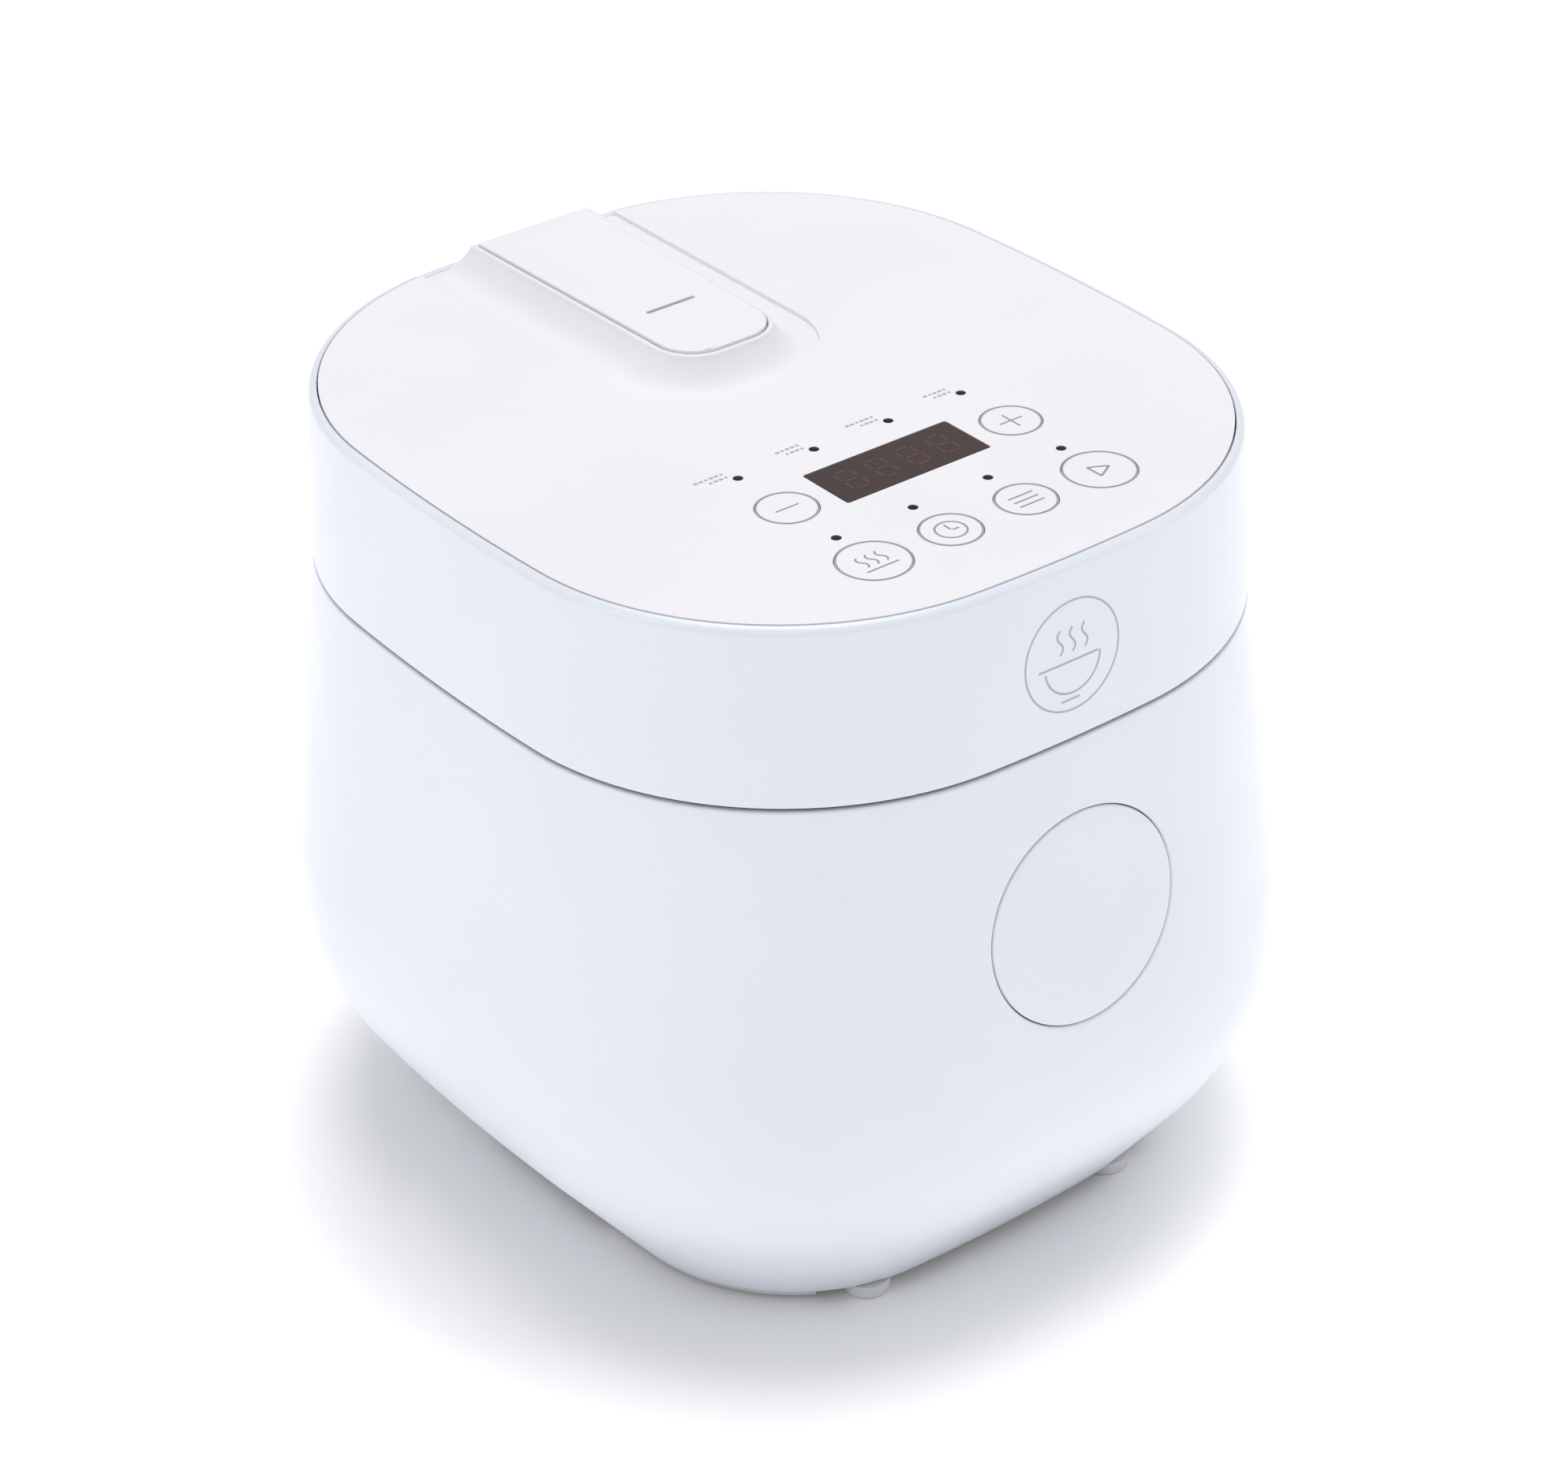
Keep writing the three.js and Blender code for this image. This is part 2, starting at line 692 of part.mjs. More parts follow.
function makeBaseCover() {
  const lip = (z) => bodyLevel(z, 0);
  const fitInset = bodyInset(basePlateBottomZ) + (shellWall + gap) / Math.cos(flankAngle);
  const tuck = cornerTuck * bodyInset(basePlateBottomZ);
  const edge = (extra) => outlineRing(fitInset + extra, tuck);
  const lipTopZ = shellBottomZ - gap;
  const cover = loft([
    { ring: centreRing(), z: basePlateTopZ },
    { ring: edge(0), z: basePlateTopZ },
    { ring: edge(0), z: lipTopZ },
    lip(lipTopZ),
    lip(skirtBottomZ),
    { ring: edge(skirtWall), z: skirtBottomZ },
    { ring: edge(skirtWall), z: basePlateBottomZ },
    { ring: centreRing(), z: basePlateBottomZ },
  ]);
  const [wide, below] = [bodyWidth, [0, basePlateBottomZ]];
  const vents = Array.from({ length: ventCount }, (unused, number) => {
    const y = (number - (ventCount - 1) / 2) * ventPitch;
    const across = [y - ventWidth / 2, y + ventWidth / 2];
    return block([-ventLength / 2, ventLength / 2], across, [0, basePlateTopZ + overlap]);
  });
  const screwHoles = screwPlaces.map(({ x, y }) => {
    const hole = [basePlateBottomZ - overlap, basePlateTopZ + overlap];
    return rod(screwShankRadius + gap, hole, [x, y]);
  });
  return cut(
    cover,
    block([skirtEndInset - baseHalfX, baseHalfX - skirtEndInset], [-wide, wide], below),
    block([-wide, wide], [-skirtGapHalfY, skirtGapHalfY], below),
    ...vents,
    ...screwHoles,
  );
}

function cornerPlaces(x, y) {
  return [
    { name: 'front_left', x: -x, y: -y },
    { name: 'front_right', x, y: -y },
    { name: 'rear_left', x: -x, y },
    { name: 'rear_right', x, y },
  ];
}

function makeFoot({ x, y }) {
  const top = basePlateBottomZ - gap;
  return turned([
    [0, 0],
    [footRadius - footBevel, 0],
    [footRadius, footBevel],
    [footRadius, top],
    [0, top],
  ], [x, y], keySteps);
}

function makeScrew({ x, y }) {
  const headTop = basePlateBottomZ - gap;
  const headBottom = headTop - screwHeadHeight;
  return turned([
    [0, headBottom],
    [screwHeadRadius - screwHeadBevel, headBottom],
    [screwHeadRadius, headBottom + screwHeadBevel],
    [screwHeadRadius, headTop],
    [screwShankRadius, headTop],
    [screwShankRadius, headTop + screwLength],
    [0, headTop + screwLength],
  ], [x, y], smallSteps);
}

function makeLiner() {
  const topZ = deckBottomZ - gap;
  const inner = linerRadius - linerWall;
  const floorZ = linerBottomZ + linerWall;
  const holeRadius = sensorStemRadius + 2;
  return turned([
    [holeRadius, linerBottomZ],
    [linerRadius - linerBevel, linerBottomZ],
    [linerRadius, linerBottomZ + linerBevel],
    [linerRadius, topZ - linerWall],
    [linerRadius + linerFlangeWidth, topZ - linerWall],
    [linerRadius + linerFlangeWidth, topZ],
    [inner, topZ],
    [inner, floorZ + linerBevel],
    [inner - linerBevel, floorZ],
    [holeRadius, floorZ],
    [holeRadius, linerBottomZ],
  ]);
}

function makeHeatingPlate() {
  const topZ = potBottomZ - 2 * gap;
  const bottomZ = topZ - plateThickness;
  const plateRadius = potRadius - plateEdgeInset;
  return turned([
    [plateHoleRadius, bottomZ],
    [plateRadius - plateBevel, bottomZ],
    [plateRadius, bottomZ + plateBevel],
    [plateRadius, topZ - plateBevel / 2],
    [plateRadius - plateBevel, topZ],
    [plateHoleRadius, topZ],
    [plateHoleRadius, bottomZ],
  ]);
}

function makeSensorCap() {
  const topZ = potBottomZ - gap;
  const underZ = topZ - sensorCapThickness;
  return turned([
    [0, topZ],
    [sensorCapRadius - sensorCapBevel, topZ],
    [sensorCapRadius, topZ - sensorCapBevel],
    [sensorCapRadius, underZ],
    [sensorStemRadius, underZ],
    [sensorStemRadius, underZ - sensorStemLength],
    [0, underZ - sensorStemLength],
  ], [0, 0], roundSteps);
}

function makeSensorSpring() {
  const bottomZ = linerBottomZ + linerWall + gap;
  const topZ = potBottomZ - gap - sensorCapThickness - gap;
  const radius = sensorStemRadius + sensorSpringGap;
  return solid(coil(radius, sensorSpringWire, [bottomZ, topZ], sensorSpringTurns));
}

// The pot's wall as a path from the rim's outside to the middle of the bottom.
function makePot() {
  const steps = 3;
  const arc = (radius) => {
    const centre = [potRadius - potCornerRadius, potBottomZ + potCornerRadius];
    return Array.from({ length: steps + 1 }, (unused, step) => {
      const angle = (Math.PI / 2) * (step / steps);
      return [centre[0] + radius * Math.cos(angle), centre[1] - radius * Math.sin(angle)];
    });
  };
  const outer = arc(potCornerRadius);
  const inner = arc(potCornerRadius - potWall);
  return turned([
    [0, potBottomZ],
    ...outer.reverse(),
    [potRadius, potRimZ],
    [potRadius + potFlangeWidth, potRimZ],
    [potRadius + potFlangeWidth, potTopZ],
    [potRadius - potWall, potTopZ],
    ...inner,
    [0, potBottomZ + potWall],
  ]);
}

// ---------------------------------------------------------------- lid hinge

const hingeStations = [-1, 1].map((side) => ({
  ear: [side * earInnerX, side * (earInnerX + earWidth)].sort((a, b) => a - b),
  spring: [side * springPocketX, side * (springPocketX + springPocketLength)].sort((a, b) => a - b),
}));

function widened([low, high], margin) {
  return [low - margin, high + margin];
}

function makeHingeHousing() {
  const length = [-hingeHalfLength, hingeHalfLength];
  const [frontY, rearY] = [axisY - hingeBarrelRadius, seamHalfY + overlap];
  const footZ = deckTopZ + gap;
  const barrel = unite(
    axle(hingeBarrelRadius, length, [axisY, axisZ], axleSteps),
    block(length, [frontY, rearY], [footZ, axisZ]),
  );
  const upper = loft([
    { ring: centreRing(), z: axisZ + 2 * hingeBarrelRadius },
    { ring: outlineRing(bodyInset(seamZ)), z: axisZ + 2 * hingeBarrelRadius },
    { ring: outlineRing(bodyInset(seamZ)), z: seamZ },
    { ring: centreRing(), z: seamZ },
  ]);
  const lower = loft([
    { ring: centreRing(), z: seamZ + gap },
    { ring: bodyRing(seamZ, shellWall + gap), z: seamZ + gap },
    { ring: bodyRing(seamZ, shellWall + gap), z: footZ - gap },
    { ring: centreRing(), z: footZ - gap },
  ]);
  const railTopZ = axisZ - earRadius - earGap;
  const slots = hingeStations.map(({ ear }) => {
    const height = [railTopZ, axisZ + 2 * hingeBarrelRadius];
    return block(widened(ear, earGap), [frontY - gap, rearY + gap], height);
  });
  const pockets = hingeStations.map(({ spring }) => (
    axle(springPocketRadius, spring, [axisY, axisZ], keySteps)
  ));
  const bore = axle(hingePinRadius + gap, widened(length, gap), [axisY, axisZ]);
  return cut(barrel.intersect(unite(upper, lower)), ...slots, ...pockets, bore);
}

function makeHingePin() {
  const half = hingeHalfLength - gap;
  return axle(hingePinRadius, [-half, half], [axisY, axisZ]);
}

function makeHingeSpring([x0, x1]) {
  const radius = (springPocketRadius + hingePinRadius) / 2;
  const geometry = coil(radius, hingeSpringWire, [x0 + gap, x1 - gap], hingeSpringTurns);
  return solid(geometry.rotateY(Math.PI / 2).translate(0, axisY, axisZ));
}

// Space that lid pieces leave free around the hinge housing.
function hingeNotch() {
  const half = hingeHalfLength + hingeNotchMargin;
  return unite(
    axle(hingeSweepRadius, [-half, half], [axisY, axisZ], tubeSteps),
    block([-half, half], [axisY - hingeSweepRadius, bodyDepth], [deckTopZ, axisZ]),
    block([-half, half], [axisY, bodyDepth], [deckTopZ, axisZ + hingeSweepRadius]),
  );
}

// ---------------------------------------------------------------- latch

function makeReleaseButton() {
  const radius = buttonRadius - buttonSeam;
  const flangeTop = shellWall + 2 * gap;
  const cap = wallLayer(0, buttonDepth).intersect(buttonDisc(radius, [-shellWall, 2 * buttonDepth]));
  const flange = wallLayer(flangeTop, flangeTop + buttonFlangeThickness).intersect(
    buttonDisc(radius + buttonFlange, [0, 2 * buttonDepth]),
  );
  const hollow = wallLayer(buttonSkin, 2 * buttonDepth).intersect(
    buttonDisc(radius - 2 * buttonSkin, [0, 2 * buttonDepth]),
  );
  const stem = buttonDisc(buttonStemRadius, [buttonSkin / 2, guideDepth], smallSteps);
  const tip = buttonDisc(buttonTipRadius, [guideDepth - overlap, buttonStemLength], smallSteps);
  return unite(cut(unite(cap, flange), hollow), stem, tip);
}

function makeButtonGuide() {
  const half = collarOuter;
  const hole = buttonDisc(buttonStemRadius + 5 * gap, [0, 2 * guideDepth], keySteps);
  const posts = [-1, 1].map((side) => {
    const edges = [side * collarInner, side * collarOuter].sort((a, b) => a - b);
    return buttonBlock(edges, [-guideHalfHeight, guideHalfHeight], [collarDepth + gap, guideDepth + overlap]);
  });
  const depth = [guideDepth, guideDepth + guideThickness];
  const bar = buttonBlock([-half, half], [-guideHalfHeight, guideHalfHeight], depth);
  return cut(unite(bar, ...posts), hole);
}

function makeButtonSpring() {
  const radius = buttonStemRadius + buttonSpringGap;
  const depth = [buttonSkin + 3 * gap, guideDepth - gap];
  return solid(atButton(coil(radius, buttonSpringWire, depth, buttonSpringTurns)));
}

function makeLatchLever() {
  const width = [-latchHalfWidth, latchHalfWidth];
  const hookTopZ = seamZ + latchTopRise;
  const hookBottomZ = hookTopZ - latchHookHeight;
  const armFrontY = latchPivotY - latchArmThickness;
  const toeY = buttonCentre.y + buttonStemLength * inwards.y + latchArmGap;
  const toeZ = buttonZ - latchArmDrop;
  const arm = slab([
    [toeY, toeZ],
    [toeY + latchArmThickness, toeZ],
    [latchPivotY + latchArmThickness, latchPivotZ],
    [latchPivotY, hookBottomZ],
    [latchTipY, hookBottomZ],
    [latchTipY, hookTopZ - latchHookHeight / 2],
    [latchPivotY, hookTopZ],
    [armFrontY, hookTopZ],
    [armFrontY, latchPivotZ],
  ], width);
  const bore = axle(latchPinRadius + gap, widened(width, gap), [latchPivotY, latchPivotZ]);
  return cut(arm, bore);
}

function makeLatchPin() {
  const half = latchHalfWidth + latchSpringWidth + latchEarWidth + gap;
  return axle(latchPinRadius, [-half, half], [latchPivotY, latchPivotZ]);
}

function makeLatchSpring() {
  const [x0, x1] = [latchHalfWidth + gap, latchHalfWidth + latchSpringWidth];
  const geometry = coil(latchPinRadius + 4 * gap, latchSpringWire, [x0, x1], latchSpringTurns);
  return solid(geometry.rotateY(Math.PI / 2).translate(0, latchPivotY, latchPivotZ));
}

function makeKeeper() {
  const frontY = latchTipY + keeperClearance;
  const lipTopZ = seamZ + latchTopRise - latchHookHeight - 2 * gap;
  const lipBottomZ = lipTopZ - keeperThickness;
  const lip = [frontY, frontY + keeperLip];
  const web = [frontY + keeperLip - keeperThickness, frontY + keeperLip];
  const width = [-keeperHalfWidth, keeperHalfWidth];
  return unite(
    block(width, lip, [lipBottomZ, lipTopZ]),
    block(width, web, [lipBottomZ, frameBottomZ - gap]),
  );
}

// ---------------------------------------------------------------- lid

function steamRecess() {
  const frontY = capFrontY - recessFrontGap;
  const shape = tongue(recessHalf, recessHalf, frontY, bodyDepth, recessFrontRadius);
  return prism(shape, [lidTopZ - recessDepth, lidTopZ + capRise], capSteps);
}

function makeLidShell() {
  const rim = [0, 0.5, 1].map((part) => {
    const angle = (Math.PI / 2) * part;
    const z = lidTopZ - rimRadius * (1 - Math.sin(angle));
    return lidLevel(z, rimRadius * (1 - Math.cos(angle)));
  });
  const ledgeTopZ = panelBottomZ - gap;
  const wall = loop([
    lidLevel(lidBottomZ),
    ...rim,
    { ring: outlineRing(lidInset(lidTopZ) + lidWall), z: lidTopZ },
    { ring: outlineRing(lidInset(lidTopZ) + lidWall), z: ledgeTopZ },
    { ring: outlineRing(lidInset(lidTopZ) + lidWall + ledgeWidth), z: ledgeTopZ },
    { ring: outlineRing(lidInset(lidTopZ) + lidWall + ledgeWidth), z: ledgeTopZ - ledgeThickness },
    lidLevel(ledgeTopZ - ledgeThickness, lidWall),
    lidLevel(lidBottomZ, lidWall),
  ]);
  return cut(wall, steamRecess(), hingeNotch());
}

function makeTopPanel() {
  const edge = outlineRing(lidInset(lidTopZ) + lidWall + gap);
  const plate = loft([
    { ring: centreRing(), z: panelBottomZ },
    { ring: edge, z: panelBottomZ },
    { ring: edge, z: lidTopZ },
    { ring: centreRing(), z: lidTopZ },
  ]);
  const moundTopZ = capBottomZ - gap;
  const floorZ = lidTopZ - recessDepth - overlap;
  const flare = [0, 0.33, 0.67, 1].map((part) => {
    const ring = capShape(moundFlare * (1 - part) ** 2).getPoints(3);
    return { ring, z: floorZ + (moundTopZ - floorZ) * part };
  });
  const middle = flare[0].ring.map(() => new THREE.Vector2(0, (capFrontY + capRearY) / 2));
  const mound = loft([
    { ring: middle, z: floorZ },
    ...flare,
    { ring: middle, z: moundTopZ },
  ]);
  const pocket = prism(capShape(-moundSkin), [panelBottomZ - overlap, moundTopZ - moundSkin], 2);
  const clipHoles = capClips(2 * gap, [panelBottomZ, capTopZ]);
  const steamHole = rod(steamHoleRadius, [panelBottomZ, capTopZ], [0, steamHoleY], tubeSteps);
  const keyHoles = keyRows.map(({ column, y, radius }) => (
    rod(radius + gap, [panelBottomZ - gap, lidTopZ + gap], [columnX(column), y], keySteps)
  ));
  const dotHoles = [rearDotY, frontDotY].flatMap((y) => [0, 1, 2, 3].map((column) => (
    rod(dotRadius + gap, [panelBottomZ - gap, lidTopZ + gap], [columnX(column), y], smallSteps)
  )));
  const [halfX, halfY] = [windowWidth / 2 + gap, windowDepth / 2 + gap];
  const windowHole = block([-halfX, halfX], [windowY - halfY, windowY + halfY], [0, capTopZ]);
  const posts = boardPosts().map(([x, y]) => (
    rod(postRadius, [boardTopZ + gap, panelBottomZ + overlap], [x, y])
  ));
  return cut(
    unite(cut(plate, steamRecess()), mound, ...posts),
    pocket,
    steamHole,
    windowHole,
    ...clipHoles,
    ...keyHoles,
    ...dotHoles,
  );
}

function boardPosts() {
  const x = columnX(3) + smallKeyRadius + keyFlange;
  const [rearY, middleY] = [rearDotY - postRadius, frontDotY + postRadius];
  return [[-x, rearY], [x, rearY], [-x, middleY], [x, middleY]];
}

function capClips(margin, [z0, z1]) {
  const half = capClipWidth / 2 + margin;
  return [capFrontY + capClipInset, capRearY - capClipInset].map((y) => (
    block([-half, half], widened([y - capClipThickness / 2, y + capClipThickness / 2], margin), [z0, z1])
  ));
}

function makeSteamCap() {
  const plate = prism(capShape(0), [capBottomZ, capTopZ], capSteps);
  const slotY = [steamHoleY - capSlotWidth / 2, steamHoleY + capSlotWidth / 2];
  const slotX = [-capSlotLength / 2, capSlotLength / 2];
  const slot = block(slotX, slotY, [capBottomZ - gap, capTopZ + gap]);
  const clips = capClips(0, [capBottomZ - capClipDepth, capBottomZ + overlap]);
  return cut(unite(plate, ...clips), slot);
}

function makeKey({ column, y, radius }) {
  const flangeTopZ = panelBottomZ - gap;
  const flangeBottomZ = flangeTopZ - keyFlangeThickness;
  const footZ = boardTopZ + gap + switchHeight + switchStemHeight + keyTravel + gap;
  return turned([
    [0, lidTopZ],
    [radius, lidTopZ],
    [radius, flangeTopZ],
    [radius + keyFlange, flangeTopZ],
    [radius + keyFlange, flangeBottomZ],
    [keyStemRadius, flangeBottomZ],
    [keyStemRadius, footZ],
    [0, footZ],
  ], [columnX(column), y], keySteps);
}

function makeSwitch({ column, y }) {
  const half = switchSize / 2;
  const x = columnX(column);
  const baseZ = boardTopZ + gap;
  const topZ = baseZ + switchHeight;
  return unite(
    block(widened([x, x], half), widened([y, y], half), [baseZ, topZ]),
    rod(switchStemRadius, [topZ - overlap, topZ + switchStemHeight], [x, y], smallSteps),
  );
}

function makeDotGuide(y) {
  const barTopZ = panelBottomZ - gap;
  const reach = columnX(3) + dotBarWidth / 2;
  const bar = block([-reach, reach], widened([y, y], dotBarWidth / 2), [barTopZ - dotBarThickness, barTopZ]);
  const posts = [0, 1, 2, 3].map((column) => (
    rod(dotRadius, [barTopZ - overlap, lidTopZ], [columnX(column), y], smallSteps)
  ));
  return unite(bar, ...posts);
}

function makeWindow() {
  const [halfX, halfY] = [windowWidth / 2, windowDepth / 2];
  const height = [lidTopZ - windowThickness, lidTopZ];
  return block([-halfX, halfX], [windowY - halfY, windowY + halfY], height);
}

function makeDisplay() {
  const [halfX, halfY] = [windowWidth / 2 - 2, windowDepth / 2 - 1];
  const height = [boardTopZ + gap, lidTopZ - windowThickness - gap];
  return block([-halfX, halfX], [windowY - halfY, windowY + halfY], height);
}

function makeControlBoard() {
  const reach = columnX(3) + boardMargin;
  const length = [frontKeyY - boardFrontMargin, rearDotY + boardRearMargin];
  return block([-reach, reach], length, [boardTopZ - boardThickness, boardTopZ]);
}

function makeLidFrame() {
  const edge = (z) => ({ ring: outlineRing(lidInset(z) + lidWall + gap), z });
  const plateTopZ = frameBottomZ + frameThickness;
  const ceilingTopZ = dishCeilingZ + frameThickness;
  const plate = loft([
    { ring: centreRing(), z: ceilingTopZ },
    { ring: circleRing(dishRadius + frameThickness), z: ceilingTopZ },
    { ring: circleRing(dishRadius + frameThickness), z: plateTopZ },
    edge(plateTopZ),
    edge(frameBottomZ),
    { ring: circleRing(dishRadius), z: frameBottomZ },
    { ring: circleRing(dishRadius), z: dishCeilingZ },
    { ring: centreRing(), z: dishCeilingZ },
  ]);
  const latchX = latchHalfWidth + 5 * gap;
  const latchWindow = block(
    [-latchX, latchX],
    [latchPivotY - latchArmThickness - latchStroke - 5 * gap, latchTipY + keeperClearance + keeperLip / 2],
    [frameBottomZ - gap, frameBottomZ + 2 * latchHookHeight],
  );
  const tubeRadius = steamHoleRadius + steamTubeWall;
  const tubeTopZ = capBottomZ - gap - moundSkin - overlap;
  const tube = rod(tubeRadius, [dishCeilingZ, tubeTopZ], [0, steamHoleY], tubeSteps);
  const tubeHole = rod(steamHoleRadius, [dishCeilingZ - gap, tubeTopZ + gap], [0, steamHoleY], tubeSteps);
  const probeHole = rod(probeRadius + gap, [dishCeilingZ - gap, ceilingTopZ + gap], [0, probeY]);
  const ears = hingeStations.flatMap(({ ear }) => [
    axle(earRadius, ear, [axisY, axisZ], axleSteps),
    block(ear, [axisY - hingeSweepRadius - 2 * frameThickness, axisY], [plateTopZ - overlap, axisZ + earWebRise]),
  ]);
  const bores = hingeStations.map(({ ear }) => (
    axle(hingePinRadius + gap, widened(ear, gap), [axisY, axisZ])
  ));
  return cut(
    unite(cut(plate, hingeNotch(), latchWindow), tube, ...ears),
    tubeHole,
    probeHole,
    ...bores,
  );
}

// The flat part of the inner lid stands between the gasket's lips.
const gasketBottomZ = potTopZ + gap;
const innerLidZ = gasketBottomZ + (gasketHeight - innerLidThickness) / 2;

function makeInnerLid() {
  const bendEnd = innerLidRadius - innerLidBrim;
  const bendStart = bendEnd - innerLidSlope;
  const [low, high] = [innerLidZ, innerLidZ + innerLidThickness];
  const disc = turned([
    [0, low + innerLidDome],
    [bendStart, low + innerLidDome],
    [bendEnd, low],
    [innerLidRadius, low],
    [innerLidRadius, high],
    [bendEnd, high],
    [bendStart, high + innerLidDome],
    [0, high + innerLidDome],
  ]);
  const through = [low - gap, high + innerLidDome + gap];
  return cut(
    disc,
    rod(steamHoleRadius, through, [0, steamHoleY], tubeSteps),
    rod(probeRadius + gap, through, [0, probeY]),
  );
}

function makeGasket() {
  const grip = innerLidRadius + gap;
  const lip = innerLidRadius - gasketLip;
  const outer = grip + gasketWidth;
  const topZ = gasketBottomZ + gasketHeight;
  return turned([
    [lip, gasketBottomZ],
    [outer, gasketBottomZ],
    [outer, topZ],
    [lip, topZ],
    [lip, innerLidZ + innerLidThickness + gap],
    [grip, innerLidZ + innerLidThickness + gap],
    [grip, innerLidZ - gap],
    [lip, innerLidZ - gap],
    [lip, gasketBottomZ],
  ]);
}

function makeSteamSeal() {
  const bottomZ = innerLidZ + innerLidThickness + innerLidDome + gap;
  const height = [bottomZ, dishCeilingZ - gap];
  const outer = rod(steamHoleRadius + steamTubeWall, height, [0, steamHoleY], tubeSteps);
  return cut(outer, rod(steamHoleRadius, widened(height, gap), [0, steamHoleY], tubeSteps));
}

function makeProbe() {
  return rod(probeRadius, [gasketBottomZ, dishCeilingZ + 2 * frameThickness], [0, probeY], keySteps);
}

// ---------------------------------------------------------------- mains inlet and board

const inletFaceY = bodyDepth / 2 - inletSetback;

function makeInlet() {
  const back = inletFaceY - inletDepth;
  const box = (width, height, y) => block(
    [-width / 2, width / 2],
    y,
    [inletZ - height / 2, inletZ + height / 2],
  );
  return cut(
    box(inletWidth, inletHeight, [back, inletFaceY]),
    box(socketWidth, socketHeight, [inletFaceY - socketDepth, inletFaceY + gap]),
    ...inletPins().map(({ x, z }) => inletPin(x, z, gap)),
  );
}

function inletPins() {
  return [
    { name: 'live', x: -inletPinX, z: inletZ - inletPinDrop },
    { name: 'neutral', x: inletPinX, z: inletZ - inletPinDrop },
    { name: 'earth', x: 0, z: inletZ + inletEarthRise },
  ];
}

function inletPin(x, z, margin = 0) {
  const tip = inletFaceY - socketDepth + inletPinReach;
  const tail = inletFaceY - inletDepth - inletPinTail;
  return block(
    widened([x, x], inletPinWidth / 2 + margin),
    [tail, tip],
    widened([z, z], inletPinHeight / 2 + margin),
  );
}

const powerBoardX = powerBoardSideInset - linerRadius;
const powerBoardY = linerRadius + powerBoardGap;
const powerBoardZ = inletZ + inletHeight / 2 + powerBoardRise;
const powerBoard = {
  x: [powerBoardX, powerBoardX + powerBoardWidth],
  y: [powerBoardY, powerBoardY + boardThickness],
  z: [powerBoardZ, powerBoardZ + powerBoardHeight],
};

// A part soldered to the rear face of the power board.
function onPowerBoard({ inset, rise, width, height, depth }) {
  const x = powerBoard.x[1] - inset;
  const y = powerBoard.y[1] + gap;
  const z = powerBoard.z[0] + rise;
  return block([x - width, x], [y, y + depth], [z, z + height]);
}

// ---------------------------------------------------------------- assembly

add('outer_shell', makeOuterShell(), whitePlastic);
add('upper_ring', makeUpperRing(), innerPlastic);
add('base_cover', makeBaseCover(), basePlastic);
footPlaces.forEach((place) => add(`foot_${place.name}`, makeFoot(place), whiteRubber));
screwPlaces.forEach((place) => add(`screw_${place.name}`, makeScrew(place), springSteel));

add('inner_liner', makeLiner(), sheetSteel);
add('heating_plate', makeHeatingPlate(), castAluminium);
add('sensor_cap', makeSensorCap(), castAluminium);
add('sensor_spring', makeSensorSpring(), springSteel);
add('inner_pot', makePot(), potCoating);

add('hinge_housing', makeHingeHousing(), whitePlastic);
add('hinge_pin', makeHingePin(), springSteel);
add('hinge_spring_left', makeHingeSpring(hingeStations[0].spring), springSteel);
add('hinge_spring_right', makeHingeSpring(hingeStations[1].spring), springSteel);

add('release_button', makeReleaseButton(), whitePlastic);
add('button_guide', makeButtonGuide(), innerPlastic);
add('button_spring', makeButtonSpring(), springSteel);
add('latch_lever', makeLatchLever(), innerPlastic);
add('latch_pin', makeLatchPin(), springSteel);
add('latch_spring', makeLatchSpring(), springSteel);
add('latch_keeper', makeKeeper(), sheetSteel);

add('power_inlet', makeInlet(), darkPlastic);
inletPins().forEach(({ name, x, z }) => add(`inlet_pin_${name}`, inletPin(x, z), brass));
add('power_board', block(powerBoard.x, powerBoard.y, powerBoard.z), circuitBoard);
add('relay', onPowerBoard(relay), darkPlastic);
add('transformer', onPowerBoard(transformer), darkPlastic);
add('filter_capacitor', onPowerBoard(filterCapacitor), brass);

add('lid_shell', makeLidShell(), whitePlastic);
add('top_panel', makeTopPanel(), panelPlastic);
add('steam_cap', makeSteamCap(), panelPlastic);
add('display_window', makeWindow(), smokedWindow);
add('display_module', makeDisplay(), darkPlastic);
add('control_board', makeControlBoard(), circuitBoard);
add('dot_guide_rear', makeDotGuide(rearDotY), smokedWindow);
add('dot_guide_front', makeDotGuide(frontDotY), smokedWindow);
keyRows.forEach((key) => add(`key_${key.name}`, makeKey(key), panelPlastic));
keyRows.forEach((key) => add(`switch_${key.name}`, makeSwitch(key), darkPlastic));
add('lid_frame', makeLidFrame(), innerPlastic);
add('inner_lid', makeInnerLid(), castAluminium);
add('lid_gasket', makeGasket(), silicone);
add('steam_seal', makeSteamSeal(), silicone);
add('lid_probe', makeProbe(), sheetSteel);

export default cooker;
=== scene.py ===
"""Looks of the rice cooker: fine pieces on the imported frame, with floor, light and camera.

Shapes are worked out in millimetres in the frame's own axes, and become metres when a piece is made.
"""

import json
import math
from functools import lru_cache

import bmesh
import bpy
from mathutils import Matrix, Vector


